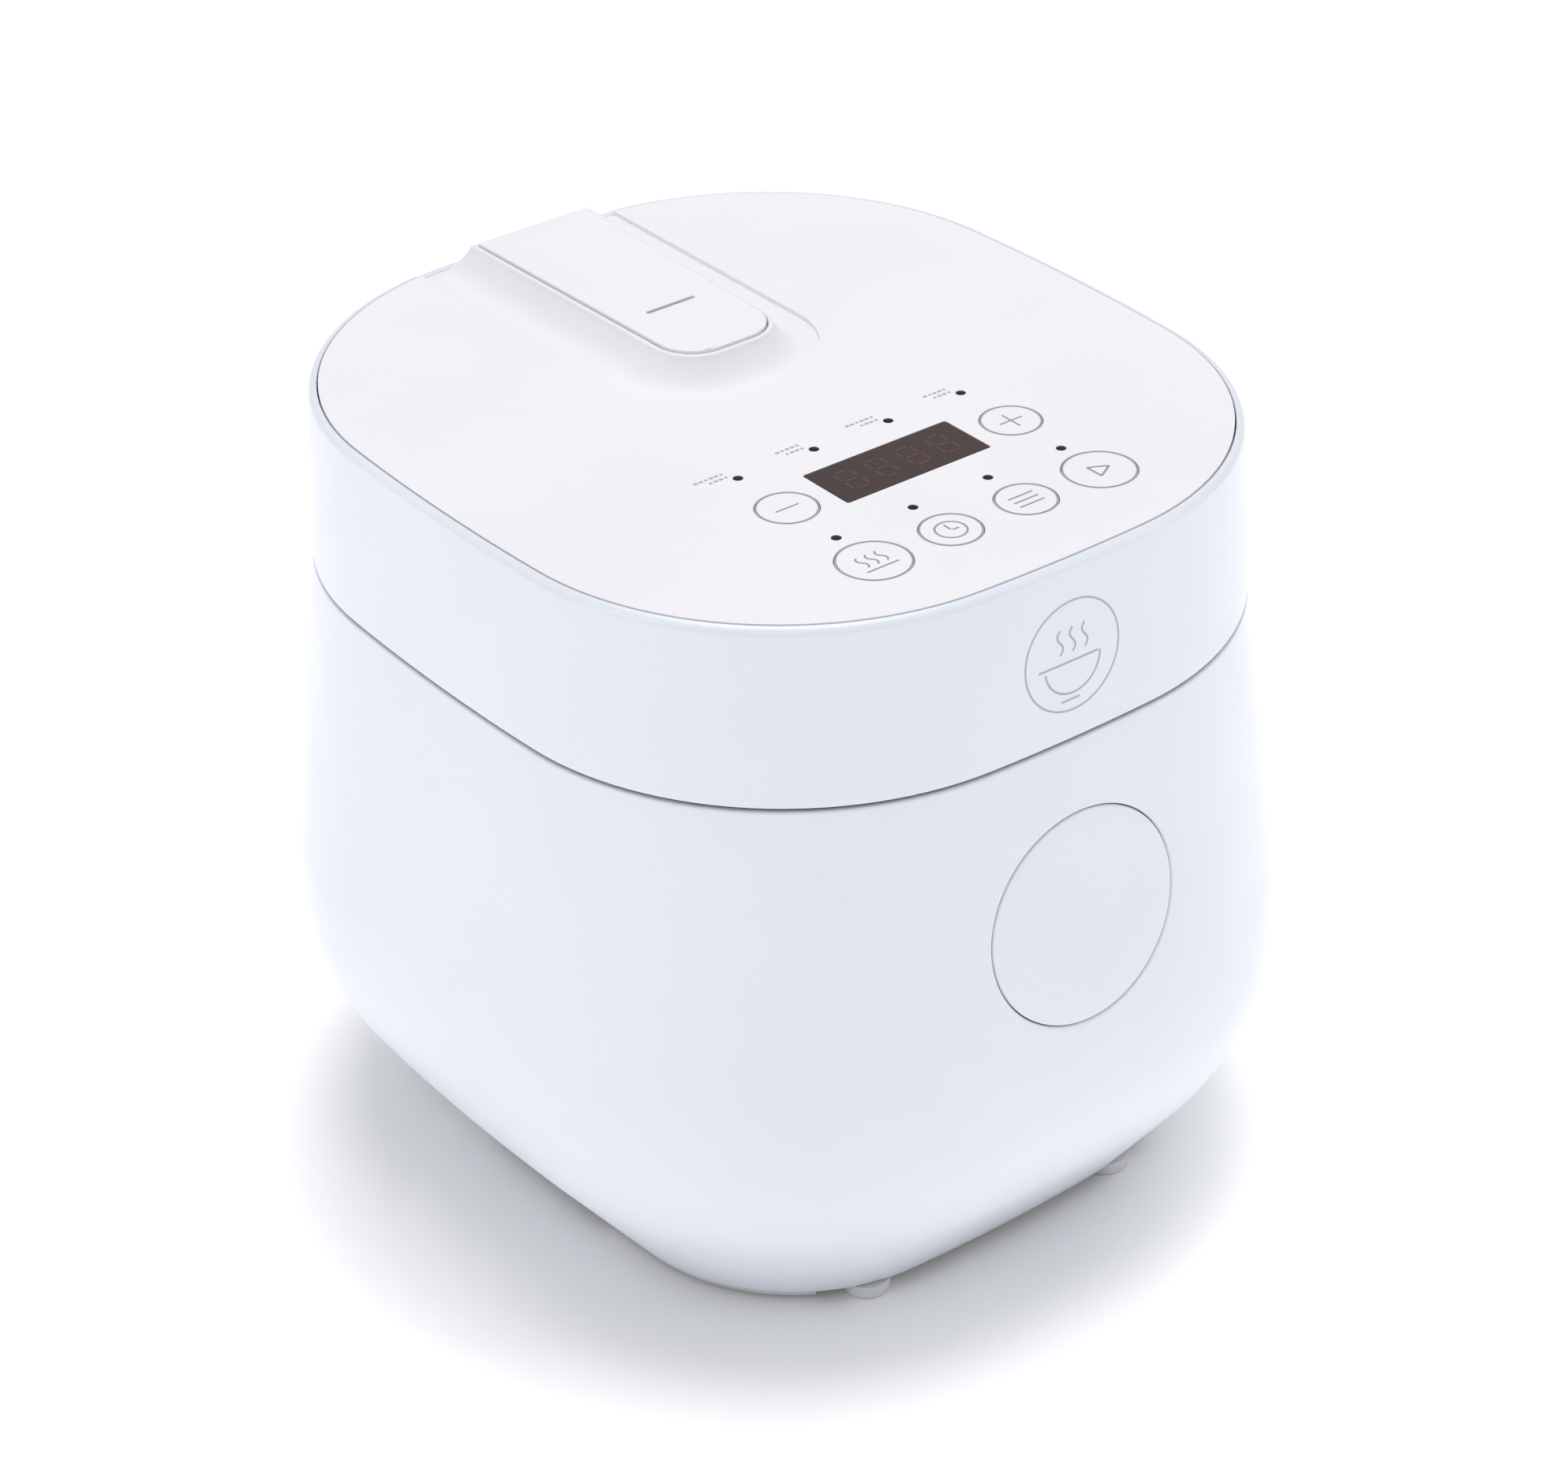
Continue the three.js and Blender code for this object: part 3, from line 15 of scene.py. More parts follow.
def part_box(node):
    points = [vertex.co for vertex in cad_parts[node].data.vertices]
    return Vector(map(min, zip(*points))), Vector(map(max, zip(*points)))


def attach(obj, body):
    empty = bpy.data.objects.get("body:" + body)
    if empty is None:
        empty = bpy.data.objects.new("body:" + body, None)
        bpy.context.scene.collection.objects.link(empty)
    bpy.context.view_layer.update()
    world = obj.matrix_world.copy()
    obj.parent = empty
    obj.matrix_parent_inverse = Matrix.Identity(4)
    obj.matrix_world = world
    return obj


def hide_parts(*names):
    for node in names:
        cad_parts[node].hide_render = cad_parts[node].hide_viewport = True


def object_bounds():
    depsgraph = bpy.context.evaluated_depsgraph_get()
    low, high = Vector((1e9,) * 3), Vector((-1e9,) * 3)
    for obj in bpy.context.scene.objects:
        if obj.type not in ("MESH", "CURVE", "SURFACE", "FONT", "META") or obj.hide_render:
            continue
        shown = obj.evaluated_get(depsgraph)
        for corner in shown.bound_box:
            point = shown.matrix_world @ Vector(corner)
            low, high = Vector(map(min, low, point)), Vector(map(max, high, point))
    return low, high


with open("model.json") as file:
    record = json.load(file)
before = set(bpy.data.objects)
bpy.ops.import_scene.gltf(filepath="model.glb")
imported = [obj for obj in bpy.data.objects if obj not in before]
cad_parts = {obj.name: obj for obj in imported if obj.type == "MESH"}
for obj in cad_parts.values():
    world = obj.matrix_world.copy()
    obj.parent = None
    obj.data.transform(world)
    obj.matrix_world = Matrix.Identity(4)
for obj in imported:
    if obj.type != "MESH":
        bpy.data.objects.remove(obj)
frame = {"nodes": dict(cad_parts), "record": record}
cad_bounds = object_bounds()

MM = 0.001
TAU = 2 * math.pi


# ---- camera

CAMERA_TARGET = Vector((4.9, 4.0, 109.7)) * MM
CAMERA_DISTANCE = 1.1781
CAMERA_AZIMUTH = math.radians(-37.153)
CAMERA_ELEVATION = math.radians(31.984)
CAMERA_ROLL = math.radians(-1.232)
CAMERA_LENS = 96.97


def make_camera():
    """A long lens from the front left, above the lid."""
    data = bpy.data.cameras.new("camera")
    data.lens = CAMERA_LENS
    camera = bpy.data.objects.new("camera", data)
    bpy.context.scene.collection.objects.link(camera)
    level = math.cos(CAMERA_ELEVATION)
    across, along = math.cos(CAMERA_AZIMUTH), math.sin(CAMERA_AZIMUTH)
    back = Vector((along * level, -across * level, math.sin(CAMERA_ELEVATION)))
    level_right = Vector((across, along, 0))
    level_up = back.cross(level_right)
    right = level_right * math.cos(CAMERA_ROLL) + level_up * math.sin(CAMERA_ROLL)
    up = level_up * math.cos(CAMERA_ROLL) - level_right * math.sin(CAMERA_ROLL)
    turn = Matrix((right, up, back)).transposed().to_4x4()
    camera.matrix_world = Matrix.Translation(CAMERA_TARGET + back * CAMERA_DISTANCE) @ turn
    bpy.context.scene.camera = camera


make_camera()


# ---- sizes, in millimetres


def box(node):
    """Lowest and highest corner of a CAD node, in millimetres."""
    low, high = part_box(node)
    return low / MM, high / MM


def middle_of(node):
    """Centre of a CAD node, seen from above."""
    low, high = box(node)
    return (low.x + high.x) / 2, (low.y + high.y) / 2


CAD_LOW, CAD_HIGH = (corner / MM for corner in cad_bounds)
HALF_X = CAD_HIGH.x
HALF_Y = -CAD_LOW.y
CORNER_RADIUS = 96.6
FRONT_BOW = 570
SIDE_BOW = 710
KNEE_LOW_Z = 68.5
KNEE_HIGH_Z = 73.5
KNEE_RADIUS = 57
FLANK_ANGLE = math.radians(38)
DRAFT_RADIUS = 130
DRAFT_ANGLE = math.radians(6.6)
CORNER_TUCK = 0.2
LID_DRAFT = 0.05
SHELL_WALL = 2.5
LID_WALL = 2
SEAM_GAP = 0.3
LID_RIM = 2.4

SHELL_BOTTOM_Z = box("outer_shell")[0].z
SHELL_TOP_Z = box("outer_shell")[1].z
LID_BOTTOM_Z = box("lid_shell")[0].z
LID_TOP_Z = box("lid_shell")[1].z
SEAM_Z = (SHELL_TOP_Z + LID_BOTTOM_Z) / 2

SIDE_STEPS = 6
CORNER_STEPS = 28
FRONT_STEPS = 8


# ---- outline and wall


def wall_lean(z):
    """Lean of the body's wall from the vertical, positive where it widens downwards."""
    if z >= KNEE_HIGH_Z:
        return min(math.asin(min((z - KNEE_HIGH_Z) / DRAFT_RADIUS, 1)), DRAFT_ANGLE)
    if z >= KNEE_LOW_Z:
        return 0.0
    return min(math.asin(min((KNEE_LOW_Z - z) / KNEE_RADIUS, 1)), FLANK_ANGLE)


def body_inset(z):
    """How far the body's wall is inside its widest level, which is flat between the two knees."""
    if KNEE_LOW_Z <= z <= KNEE_HIGH_Z:
        return 0.0
    upper = z > KNEE_HIGH_Z
    radius = DRAFT_RADIUS if upper else KNEE_RADIUS
    reach = z - KNEE_HIGH_Z if upper else KNEE_LOW_Z - z
    lean = wall_lean(z)
    straight = max(reach - radius * math.sin(lean), 0)
    return radius * (1 - math.cos(lean)) + straight * math.tan(lean)


def body_tuck(z):
    return CORNER_TUCK * body_inset(z) if z < KNEE_LOW_Z else 0.0


def lid_inset(z):
    return body_inset(SEAM_Z) + (z - SEAM_Z) * LID_DRAFT


@lru_cache(maxsize=None)
def corner_arc(tuck):
    """Centre of the corner arc, and the directions where it meets the side bow and the front bow."""
    radius = CORNER_RADIUS - tuck
    side = Vector((HALF_X - SIDE_BOW, 0))
    front = Vector((0, HALF_Y - FRONT_BOW))
    between = front - side
    span = between.length
    direction = between / span
    along = ((SIDE_BOW - radius) ** 2 - (FRONT_BOW - radius) ** 2 + span**2) / (2 * span)
    across = math.sqrt((SIDE_BOW - radius) ** 2 - along**2)
    centre = side + direction * along + Vector((-direction.y, direction.x)) * across
    from_side, from_front = centre - side, centre - front
    return centre, math.atan2(from_side.y, from_side.x), math.atan2(from_front.y, from_front.x)


def outline_point(turn, inset, tuck=0.0):
    """The rounded square's point, inset from its widest line, where the outline faces the direction turn."""
    across, along = abs(math.cos(turn)), abs(math.sin(turn))
    facing = math.atan2(along, across)
    centre, side_end, front_start = corner_arc(round(tuck, 4))
    radius = CORNER_RADIUS - tuck
    if facing < side_end:
        centre, radius = Vector((HALF_X - SIDE_BOW, 0)), SIDE_BOW
    elif facing > front_start:
        centre, radius = Vector((0, HALF_Y - FRONT_BOW)), FRONT_BOW
    x = centre.x + (radius - inset) * across
    y = centre.y + (radius - inset) * along
    return Vector((math.copysign(x, math.cos(turn)), math.copysign(y, math.sin(turn))))


def turn_at_x(x, inset, tuck=0.0):
    """Direction the outline faces at a distance x from the middle, on its rear right quarter."""
    centre, _, front_start = corner_arc(round(tuck, 4))
    bow_end = (FRONT_BOW - inset) * math.cos(front_start)
    if x <= bow_end:
        return math.acos(x / (FRONT_BOW - inset))
    return math.acos(min((x - centre.x) / (CORNER_RADIUS - tuck - inset), 1))


def spread(start, end, steps):
    """Evenly spaced values from start up to, and without, end."""
    return [start + (end - start) * step / steps for step in range(steps)]


def outline_turns(extra=()):
    """Directions of the outline's columns, finer round the corners, with extra ones of the caller's."""
    _, side_end, front_start = corner_arc(0.0)
    quarter = [
        *spread(0, side_end, SIDE_STEPS),
        *spread(side_end, front_start, CORNER_STEPS),
        *spread(front_start, math.pi / 2, FRONT_STEPS),
    ]
    half = quarter + [math.pi / 2] + [math.pi - turn for turn in reversed(quarter)]
    turns = {round(turn % TAU, 9) for turn in [*half, *(TAU - turn for turn in half), *extra]}
    return sorted(turns)


def outline_loop(inset, tuck=0.0):
    return [outline_point(turn, inset, tuck) for turn in outline_turns()]


def wall_point(x, z, side):
    """The point of the body's front wall (side -1) or rear wall (side 1) at x and z."""
    inset, tuck = body_inset(z), body_tuck(z)
    turn = turn_at_x(abs(x), inset, tuck)
    return Vector((x, side * outline_point(turn, inset, tuck).y, z))


# ---- flat outlines


def rounded(points, radius=0.0, steps=6):
    """A closed polygon with its corners as arcs. A point's third value is its own radius."""
    made = []
    for number, point in enumerate(points):
        here = Vector(point[:2])
        reach = point[2] if len(point) > 2 else radius
        if reach == 0:
            made.append(here)
            continue
        before = (Vector(points[number - 1][:2]) - here).normalized()
        after = (Vector(points[(number + 1) % len(points)][:2]) - here).normalized()
        half = before.angle(after) / 2
        middle = here + (before + after).normalized() * reach / math.sin(half)
        start = here + before * reach / math.tan(half) - middle
        sweep = start.angle_signed(here + after * reach / math.tan(half) - middle)
        for step in range(steps + 1):
            made.append(middle + Matrix.Rotation(-sweep * step / steps, 2) @ start)
    return made


def circle(radius, centre=(0, 0), steps=48):
    return [
        Vector((centre[0] + radius * math.cos(turn), centre[1] + radius * math.sin(turn)))
        for turn in spread(0, TAU, steps)
    ]


def rectangle(width, depth, centre=(0, 0), radius=0.0, turn=0.0):
    half_x, half_y = width / 2, depth / 2
    corners = rounded([(-half_x, -half_y), (half_x, -half_y), (half_x, half_y), (-half_x, half_y)], radius)
    return [Vector(centre) + Matrix.Rotation(turn, 2) @ corner for corner in corners]


def tongue(front_half, rear_half, front_y, rear_y, radius):
    """A tongue with two round front corners, square at the rear."""
    left = [(-rear_half, rear_y, 0), (-front_half, front_y, radius)]
    right = [(front_half, front_y, radius), (rear_half, rear_y, 0)]
    return rounded([*left, *right], steps=12)


# ---- solids, as (points, faces)


def joined(*shapes):
    points, faces = [], []
    for more_points, more_faces in shapes:
        faces += [tuple(number + len(points) for number in face) for face in more_faces]
        points += more_points
    return points, faces


def moved(shape, matrix):
    points, faces = shape
    return [matrix @ Vector(point) for point in points], faces


def grid(rings, closed_rows=False, closed_columns=True):
    """Quads between neighbouring rings of equal length."""
    rows, columns = len(rings), len(rings[0])
    faces = []
    for row in range(rows if closed_rows else rows - 1):
        for column in range(columns if closed_columns else columns - 1):
            after_row, after_column = (row + 1) % rows, (column + 1) % columns
            corners = ((row, column), (row, after_column), (after_row, after_column), (after_row, column))
            faces.append(tuple(r * columns + c for r, c in corners))
    return [Vector(point) for ring in rings for point in ring], faces


def capped(rings):
    """A grid of rings with its first and last ring filled."""
    points, faces = grid(rings)
    count = len(rings[0])
    ends = [tuple(range(count)), tuple(range(len(points) - count, len(points)))]
    return points, faces + ends


def lathe(profile, centre=(0, 0), steps=48, corner_steps=6):
    """A closed profile of (radius, height, corner radius) turned about a vertical axis."""
    section = rounded(profile, steps=corner_steps)
    rings = [
        [(centre[0] + r * math.cos(turn), centre[1] + r * math.sin(turn), z) for r, z in section]
        for turn in spread(0, TAU, steps)
    ]
    return grid(rings, closed_rows=True)


AXLE_EDGE = 0.4


def axle(radius, x_range, centre):
    """A rod along X with rounded ends, centred on (y, z)."""
    low, high = x_range
    profile = [(0, low, 0), (radius, low, AXLE_EDGE), (radius, high, AXLE_EDGE), (0, high, 0)]
    lie_along_x = Matrix(((0, 0, 1, 0), (1, 0, 0, centre[0]), (0, 1, 0, centre[1]), (0, 0, 0, 1)))
    return moved(lathe(profile, corner_steps=3), lie_along_x)


def flat_faces(loops, z):
    """Triangles that fill the first loop around the others, at one height."""
    mesh = bmesh.new()
    edges = []
    for loop in loops:
        corners = [mesh.verts.new((point[0], point[1], z)) for point in loop]
        edges += [mesh.edges.new((corners[number - 1], corners[number])) for number in range(len(corners))]
    mesh.verts.index_update()
    bmesh.ops.triangle_fill(mesh, use_beauty=True, edges=edges, normal=(0, 0, 1))
    faces = [tuple(vert.index for vert in face.verts) for face in mesh.faces]
    points = [vert.co.copy() for vert in mesh.verts]
    mesh.free()
    return points, faces


def plate(outer, holes, low, high):
    """A flat solid between two heights, with holes."""
    loops = [outer, *holes]
    sides = [grid([[(*point, low) for point in loop], [(*point, high) for point in loop]]) for loop in loops]
    return joined(flat_faces(loops, low), flat_faces(loops, high), *sides)


# ---- materials

# Every material gives its tone and roughness a slow drift, and its surface a fine grain.
DRIFT_SCALE = 14
COLOUR_DRIFT = 0.03
ROUGHNESS_DRIFT = 0.04
COAT_ROUGHNESS = 0.12


class Shading:
    """A node material being built round one shader."""

    def __init__(self, name, colour, roughness, **inputs):
        self.material = bpy.data.materials.new(name)
        self.material.use_nodes = True
        self.nodes = self.material.node_tree.nodes
        self.links = self.material.node_tree.links
        self.shader = self.nodes["Principled BSDF"]
        self.place = self.nodes.new("ShaderNodeTexCoord").outputs["Object"]
        darker = tuple(value * (1 - COLOUR_DRIFT) for value in colour)
        tone = self.mixed(self.between(self.noise(DRIFT_SCALE), 0, 1), colour, darker)
        low, high = roughness - ROUGHNESS_DRIFT, roughness + ROUGHNESS_DRIFT
        sheen = self.between(self.noise(3 * DRIFT_SCALE), low, high)
        self.feed(self.shader, Base_Color=tone, Roughness=sheen, **inputs)

    def feed(self, node, **inputs):
        """Gives a node's inputs, named as its sockets are, values or the outputs of other nodes."""
        for name, value in inputs.items():
            socket = node.inputs[name.replace("_", " ")]
            if isinstance(value, bpy.types.NodeSocket):
                self.links.new(value, socket)
            else:
                socket.default_value = value
        return node

    def add(self, kind, **inputs):
        return self.feed(self.nodes.new(f"ShaderNode{kind}"), **inputs)

    def noise(self, scale, detail=3, place=None):
        return self.add("TexNoise", Scale=scale, Detail=detail, Vector=place or self.place).outputs["Fac"]

    def between(self, factor, low, high):
        """Carries the middle of a noise's range over to a range of values."""
        ramp = self.add("MapRange", From_Min=0.3, From_Max=0.7, To_Min=low, To_Max=high, Value=factor)
        return ramp.outputs["Result"]

    def mixed(self, factor, *colours):
        """One colour where the factor is 0 and the other where it is 1."""
        node = self.add("Mix", Factor=factor)
        node.data_type = "RGBA"
        sockets = [socket for socket in node.inputs if socket.type == "RGBA"]
        for socket, colour in zip(sockets, colours):
            socket.default_value = (*colour, 1)
        return next(socket for socket in node.outputs if socket.type == "RGBA")

    def bump(self, height, distance, strength=1.0):
        node = self.add("Bump", Distance=distance, Strength=strength, Height=height)
        self.feed(self.shader, Normal=node.outputs["Normal"])


def moulded(name, colour, roughness, grain_scale, grain_depth, coat=0.0, specular=0.5):
    """Moulded plastic or rubber: a fine grain from the tool over a gently uneven surface."""
    finish = {"Specular_IOR_Level": specular, "Coat_Weight": coat, "Coat_Roughness": COAT_ROUGHNESS}
    shading = Shading(name, colour, roughness, **finish)
    shading.bump(shading.noise(grain_scale, detail=2), grain_depth)
    return shading.material


def brushed(name, colour, roughness, stretch):
    """Metal with drawn or turned marks along one direction."""
    shading = Shading(name, colour, roughness, Metallic=1.0)
    stretched = shading.add("Mapping", Scale=stretch, Vector=shading.place).outputs["Vector"]
    shading.bump(shading.noise(60, detail=4, place=stretched), 0.00004, 0.5)
    return shading.material


def coated_metal():
    """The pot's pale ceramic coating, with fine flecks."""
    shading = Shading("pot_coating", (0.45, 0.46, 0.46), 0.42, Metallic=0.2)
    share = 0.16
    cells = shading.add("TexVoronoi", Scale=900, Vector=shading.place).outputs["Distance"]
    flecks = shading.add("MapRange", From_Min=share, From_Max=share * 1.4, To_Min=1, To_Max=0, Value=cells)
    tone = shading.mixed(flecks.outputs["Result"], (0.46, 0.47, 0.47), (0.25, 0.26, 0.26))
    shading.feed(shading.shader, Base_Color=tone)
    shading.bump(shading.noise(1400, detail=2), 0.00003)
    return shading.material


def board_laminate():
    """Green board lacquer over a mesh of copper tracks."""
    lacquer = (0.03, 0.17, 0.08)
    shading = Shading("circuit_board", lacquer, 0.4)
    tracks = shading.add("TexBrick", Scale=160, Mortar_Size=0.03, Vector=shading.place)
    shading.feed(tracks, Color1=(*lacquer, 1), Color2=(0.04, 0.21, 0.1, 1), Mortar=(0.1, 0.32, 0.15, 1))
    shading.feed(shading.shader, Base_Color=tracks.outputs["Color"])
    shading.bump(tracks.outputs["Fac"], 0.00003)
    return shading.material


MATERIALS = {
    # Painted shade and light: white_plastic's blue tint is the cool shade that the upright walls take on
    # under this light, put into the plastic's colour. panel_plastic's warmer, lighter tone is partly the
    # panel's own pale colour and partly the painted lit tone of the flat top.
    "white_plastic": moulded("white_plastic", (0.772, 0.812, 0.888), 0.34, 2200, 0.000012, coat=0.25),
    "panel_plastic": moulded("panel_plastic", (0.85, 0.84, 0.88), 0.55, 2600, 0.00001, specular=0.3),
    "inner_plastic": moulded("inner_plastic", (0.72, 0.73, 0.75), 0.5, 1500, 0.00003),
    "base_plastic": moulded("base_plastic", (0.62, 0.63, 0.66), 0.55, 1200, 0.00004),
    "white_rubber": moulded("white_rubber", (0.66, 0.66, 0.68), 0.8, 900, 0.00005),
    "silicone": moulded("silicone", (0.7, 0.72, 0.74), 0.62, 1100, 0.00002),
    "smoked_window": moulded("smoked_window", (0.046, 0.028, 0.026), 0.2, 3000, 0.000003, specular=0.3),
    "dark_plastic": moulded("dark_plastic", (0.025, 0.025, 0.028), 0.45, 1500, 0.00003),
    "pot_coating": coated_metal(),
    "sheet_steel": brushed("sheet_steel", (0.6, 0.61, 0.62), 0.34, (1, 1, 30)),
    "spring_steel": brushed("spring_steel", (0.5, 0.51, 0.53), 0.28, (20, 20, 3)),
    "cast_aluminium": brushed("cast_aluminium", (0.66, 0.67, 0.68), 0.38, (12, 12, 12)),
    "brass": brushed("brass", (0.7, 0.52, 0.25), 0.3, (6, 30, 6)),
    "circuit_board": board_laminate(),
}
LEGEND_INK = moulded("legend_ink", (0.30, 0.30, 0.33), 0.5, 1800, 0.000005)
LABEL_INK = moulded("label_ink", (0.42, 0.43, 0.47), 0.5, 1800, 0.000005)
DOT_LENS = moulded("dot_lens", (0.005, 0.004, 0.004), 0.3, 2400, 0.000004, specular=0.2)
SEGMENT_GLOW = moulded("display_segments", (0.1, 0.047, 0.036), 0.2, 3000, 0.000003, specular=0.3)


# ---- pieces

BODIES = frame["record"]["behaviour"]["bodies"]
BODY_OF_NODE = {node: body for body, nodes in BODIES.items() for node in nodes}
SLOT_OF_NODE = {part["node"]: part["material_slot"] for part in frame["record"]["subparts"]}


def mesh_object(name, shape):
    """A linked, smooth-shaded object of a shape in millimetres, with its faces turned outwards."""
    points, faces = shape
    data = bpy.data.meshes.new(name)
    data.from_pydata([Vector(point) * MM for point in points], [], faces)
    mesh = bmesh.new()
    mesh.from_mesh(data)
    bmesh.ops.remove_doubles(mesh, verts=mesh.verts, dist=1e-7)
    bmesh.ops.dissolve_degenerate(mesh, edges=mesh.edges, dist=1e-8)
    loose = [vert for vert in mesh.verts if not vert.link_faces]
    bmesh.ops.delete(mesh, geom=loose, context="VERTS")
    bmesh.ops.recalc_face_normals(mesh, faces=mesh.faces)
    mesh.to_mesh(data)
    mesh.free()
    data.shade_smooth()
    made = bpy.data.objects.new(name, data)
    bpy.context.scene.collection.objects.link(made)
    return made


def add_modifier(made, kind, **settings):
    modifier = made.modifiers.new(kind.lower(), kind)
    for setting, value in settings.items():
        setattr(modifier, setting, value)


def soften(made, width, segments=3, angle=42):
    """Rounds the sharp edges by a width in millimetres. With no width they stay sharp."""
    if not width:
        made.data.set_sharp_from_angle(angle=math.radians(angle))
        return
    add_modifier(
        made,
        "BEVEL",
        width=width * MM,
        segments=segments,
        limit_method="ANGLE",
        angle_limit=math.radians(angle),
        use_clamp_overlap=False,
    )
    add_modifier(made, "WEIGHTED_NORMAL", mode="FACE_AREA", weight=60, keep_sharp=False)


def cut_away(made, cutters):
    """Cuts the shapes out of the object's mesh for good."""
    for number, shape in enumerate(cutters):
        cutter = mesh_object(f"{made.name}_cutter_{number}", shape)
        add_modifier(made, "BOOLEAN", operation="DIFFERENCE", object=cutter, solver="EXACT")
        evaluated = made.evaluated_get(bpy.context.evaluated_depsgraph_get())
        data = bpy.data.meshes.new_from_object(evaluated)
        made.modifiers.clear()
        made.data = data
        made.data.shade_smooth()
        bpy.data.objects.remove(cutter)


def dress(made, body, slot, ink=None):
    """Puts a piece on its body with its finish."""
    made.data.materials.clear()
    made.data.materials.append(ink or MATERIALS[slot])
    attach(made, body)


def stand_for(node, shape, bevel=0.3, cutters=(), wall=0.0, ink=None):
    """A fine piece in place of one CAD node, on its body and with its slot's material."""
    made = mesh_object(f"{node}_fine", shape)
    if cutters:
        cut_away(made, cutters)
    if wall:
        add_modifier(made, "SOLIDIFY", thickness=wall * MM, offset=-1, use_even_offset=True)
    soften(made, bevel)
    dress(made, BODY_OF_NODE[node], SLOT_OF_NODE[node], ink)
    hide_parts(node)


# ---- outer shell

BUTTON_Z = 122.4
BUTTON_HOLE = 30.4
BUTTON_DISC = 30.05
BUTTON_TILT = wall_lean(BUTTON_Z)
INLET_LOW, INLET_HIGH = box("power_inlet")
PATCH_MARGIN = 6
PATCH_RINGS = 7


def block(x_range, y_range, z_range):
    """A plain box, used as a cutter."""
    (x0, x1), (y0, y1), (z0, z1) = x_range, y_range, z_range
    return plate([(x0, y0), (x1, y0), (x1, y1), (x0, y1)], [], z0, z1)


def circle_reach(direction):
    """The button hole's edge in the wall, as (x, z) from its middle."""
    x, up = direction.x, direction.y / math.cos(BUTTON_TILT)
    scale = BUTTON_HOLE / math.hypot(x, up)
    return Vector((x * scale, up * scale * math.cos(BUTTON_TILT)))


def inlet_reach(direction):
    """The inlet hole's edge in the wall, a rectangle with round corners, as (x, z) from its middle."""
    half_x = (INLET_HIGH.x - INLET_LOW.x) / 2 + SEAM_GAP
    half_z = (INLET_HIGH.z - INLET_LOW.z) / 2 + SEAM_GAP
    power = 9
    scale = (abs(direction.x / half_x) ** power + abs(direction.y / half_z) ** power) ** (-1 / power)
    return direction * scale


def body_heights():
    return [
        *spread(SHELL_BOTTOM_Z, KNEE_LOW_Z, 22),
        *spread(KNEE_LOW_Z, SHELL_TOP_Z, 34),
        SHELL_TOP_Z,
    ]


def patch_block(turns, heights, half, centre_z, side):
    """Rows and columns of the quads that a wall patch replaces."""
    half_x, half_z = half
    rows = [row for row, z in enumerate(heights) if abs(z - centre_z) <= half_z]
    inset = body_inset(centre_z)
    columns = []
    for column, turn in enumerate(turns):
        point = outline_point(turn, inset)
        if abs(point.x) <= half_x and point.y * side > 0:
            columns.append(column)
    return rows, columns


def patch_faces(points, columns_per_row, rows, columns, reach, centre_z, side):
    """Rings of quads from the edge of a block of the wall's grid to the edge of a hole in it."""
    around = [(rows[0], column) for column in columns]
    around += [(row, columns[-1]) for row in rows[1:]]
    around += [(rows[-1], column) for column in reversed(columns[:-1])]
    around += [(row, columns[0]) for row in reversed(rows[1:-1])]
    previous = [row * columns_per_row + column for row, column in around]
    starts = [Vector((points[number].x, points[number].z - centre_z)) for number in previous]
    faces = []
    for ring in range(1, PATCH_RINGS + 1):
        share = ring / PATCH_RINGS
        current = []
        for start in starts:
            place = start.lerp(reach(start), share)
            current.append(len(points))
            points.append(wall_point(place.x, centre_z + place.y, side))
        for number in range(len(current)):
            faces.append((previous[number - 1], previous[number], current[number], current[number - 1]))
        previous = current
    return faces


def shell_sheet():
    """The body's outer skin, open at the top and bottom, at the button and at the mains inlet."""
    turns, heights = outline_turns(), body_heights()
    rings = [[(*point, z) for point in outline_loop(body_inset(z), body_tuck(z))] for z in heights]
    points, faces = grid(rings)
    inlet_z = (INLET_LOW.z + INLET_HIGH.z) / 2
    inlet_half = ((INLET_HIGH.x - INLET_LOW.x) / 2, (INLET_HIGH.z - INLET_LOW.z) / 2)
    patches = [
        ((BUTTON_HOLE, BUTTON_HOLE), BUTTON_Z, -1, circle_reach),
        (inlet_half, inlet_z, 1, inlet_reach),
    ]
    dropped = set()
    added = []
    for half, centre_z, side, reach in patches:
        grown = tuple(value + PATCH_MARGIN for value in half)
        rows, columns = patch_block(turns, heights, grown, centre_z, side)
        dropped |= {row * len(turns) + column for row in rows[:-1] for column in columns[:-1]}
        added += patch_faces(points, len(turns), rows, columns, reach, centre_z, side)
    return points, [face for face in faces if face[0] not in dropped] + added


stand_for("outer_shell", shell_sheet(), bevel=0.7, wall=SHELL_WALL)


# ---- release button

BUTTON_CENTRE = wall_point(0, BUTTON_Z, -1)
BUTTON_INWARDS = Vector((0, math.cos(BUTTON_TILT), -math.sin(BUTTON_TILT)))
BUTTON_DEPTH = 7
BUTTON_SKIN = 2.2
FLANGE_TOP = 3.1
FLANGE_BOTTOM = 4.6
FLANGE_WIDTH = 3.2
STEM_RADIUS = 5
STEM_LENGTH = 17
BUTTON_EDGE = 0.6


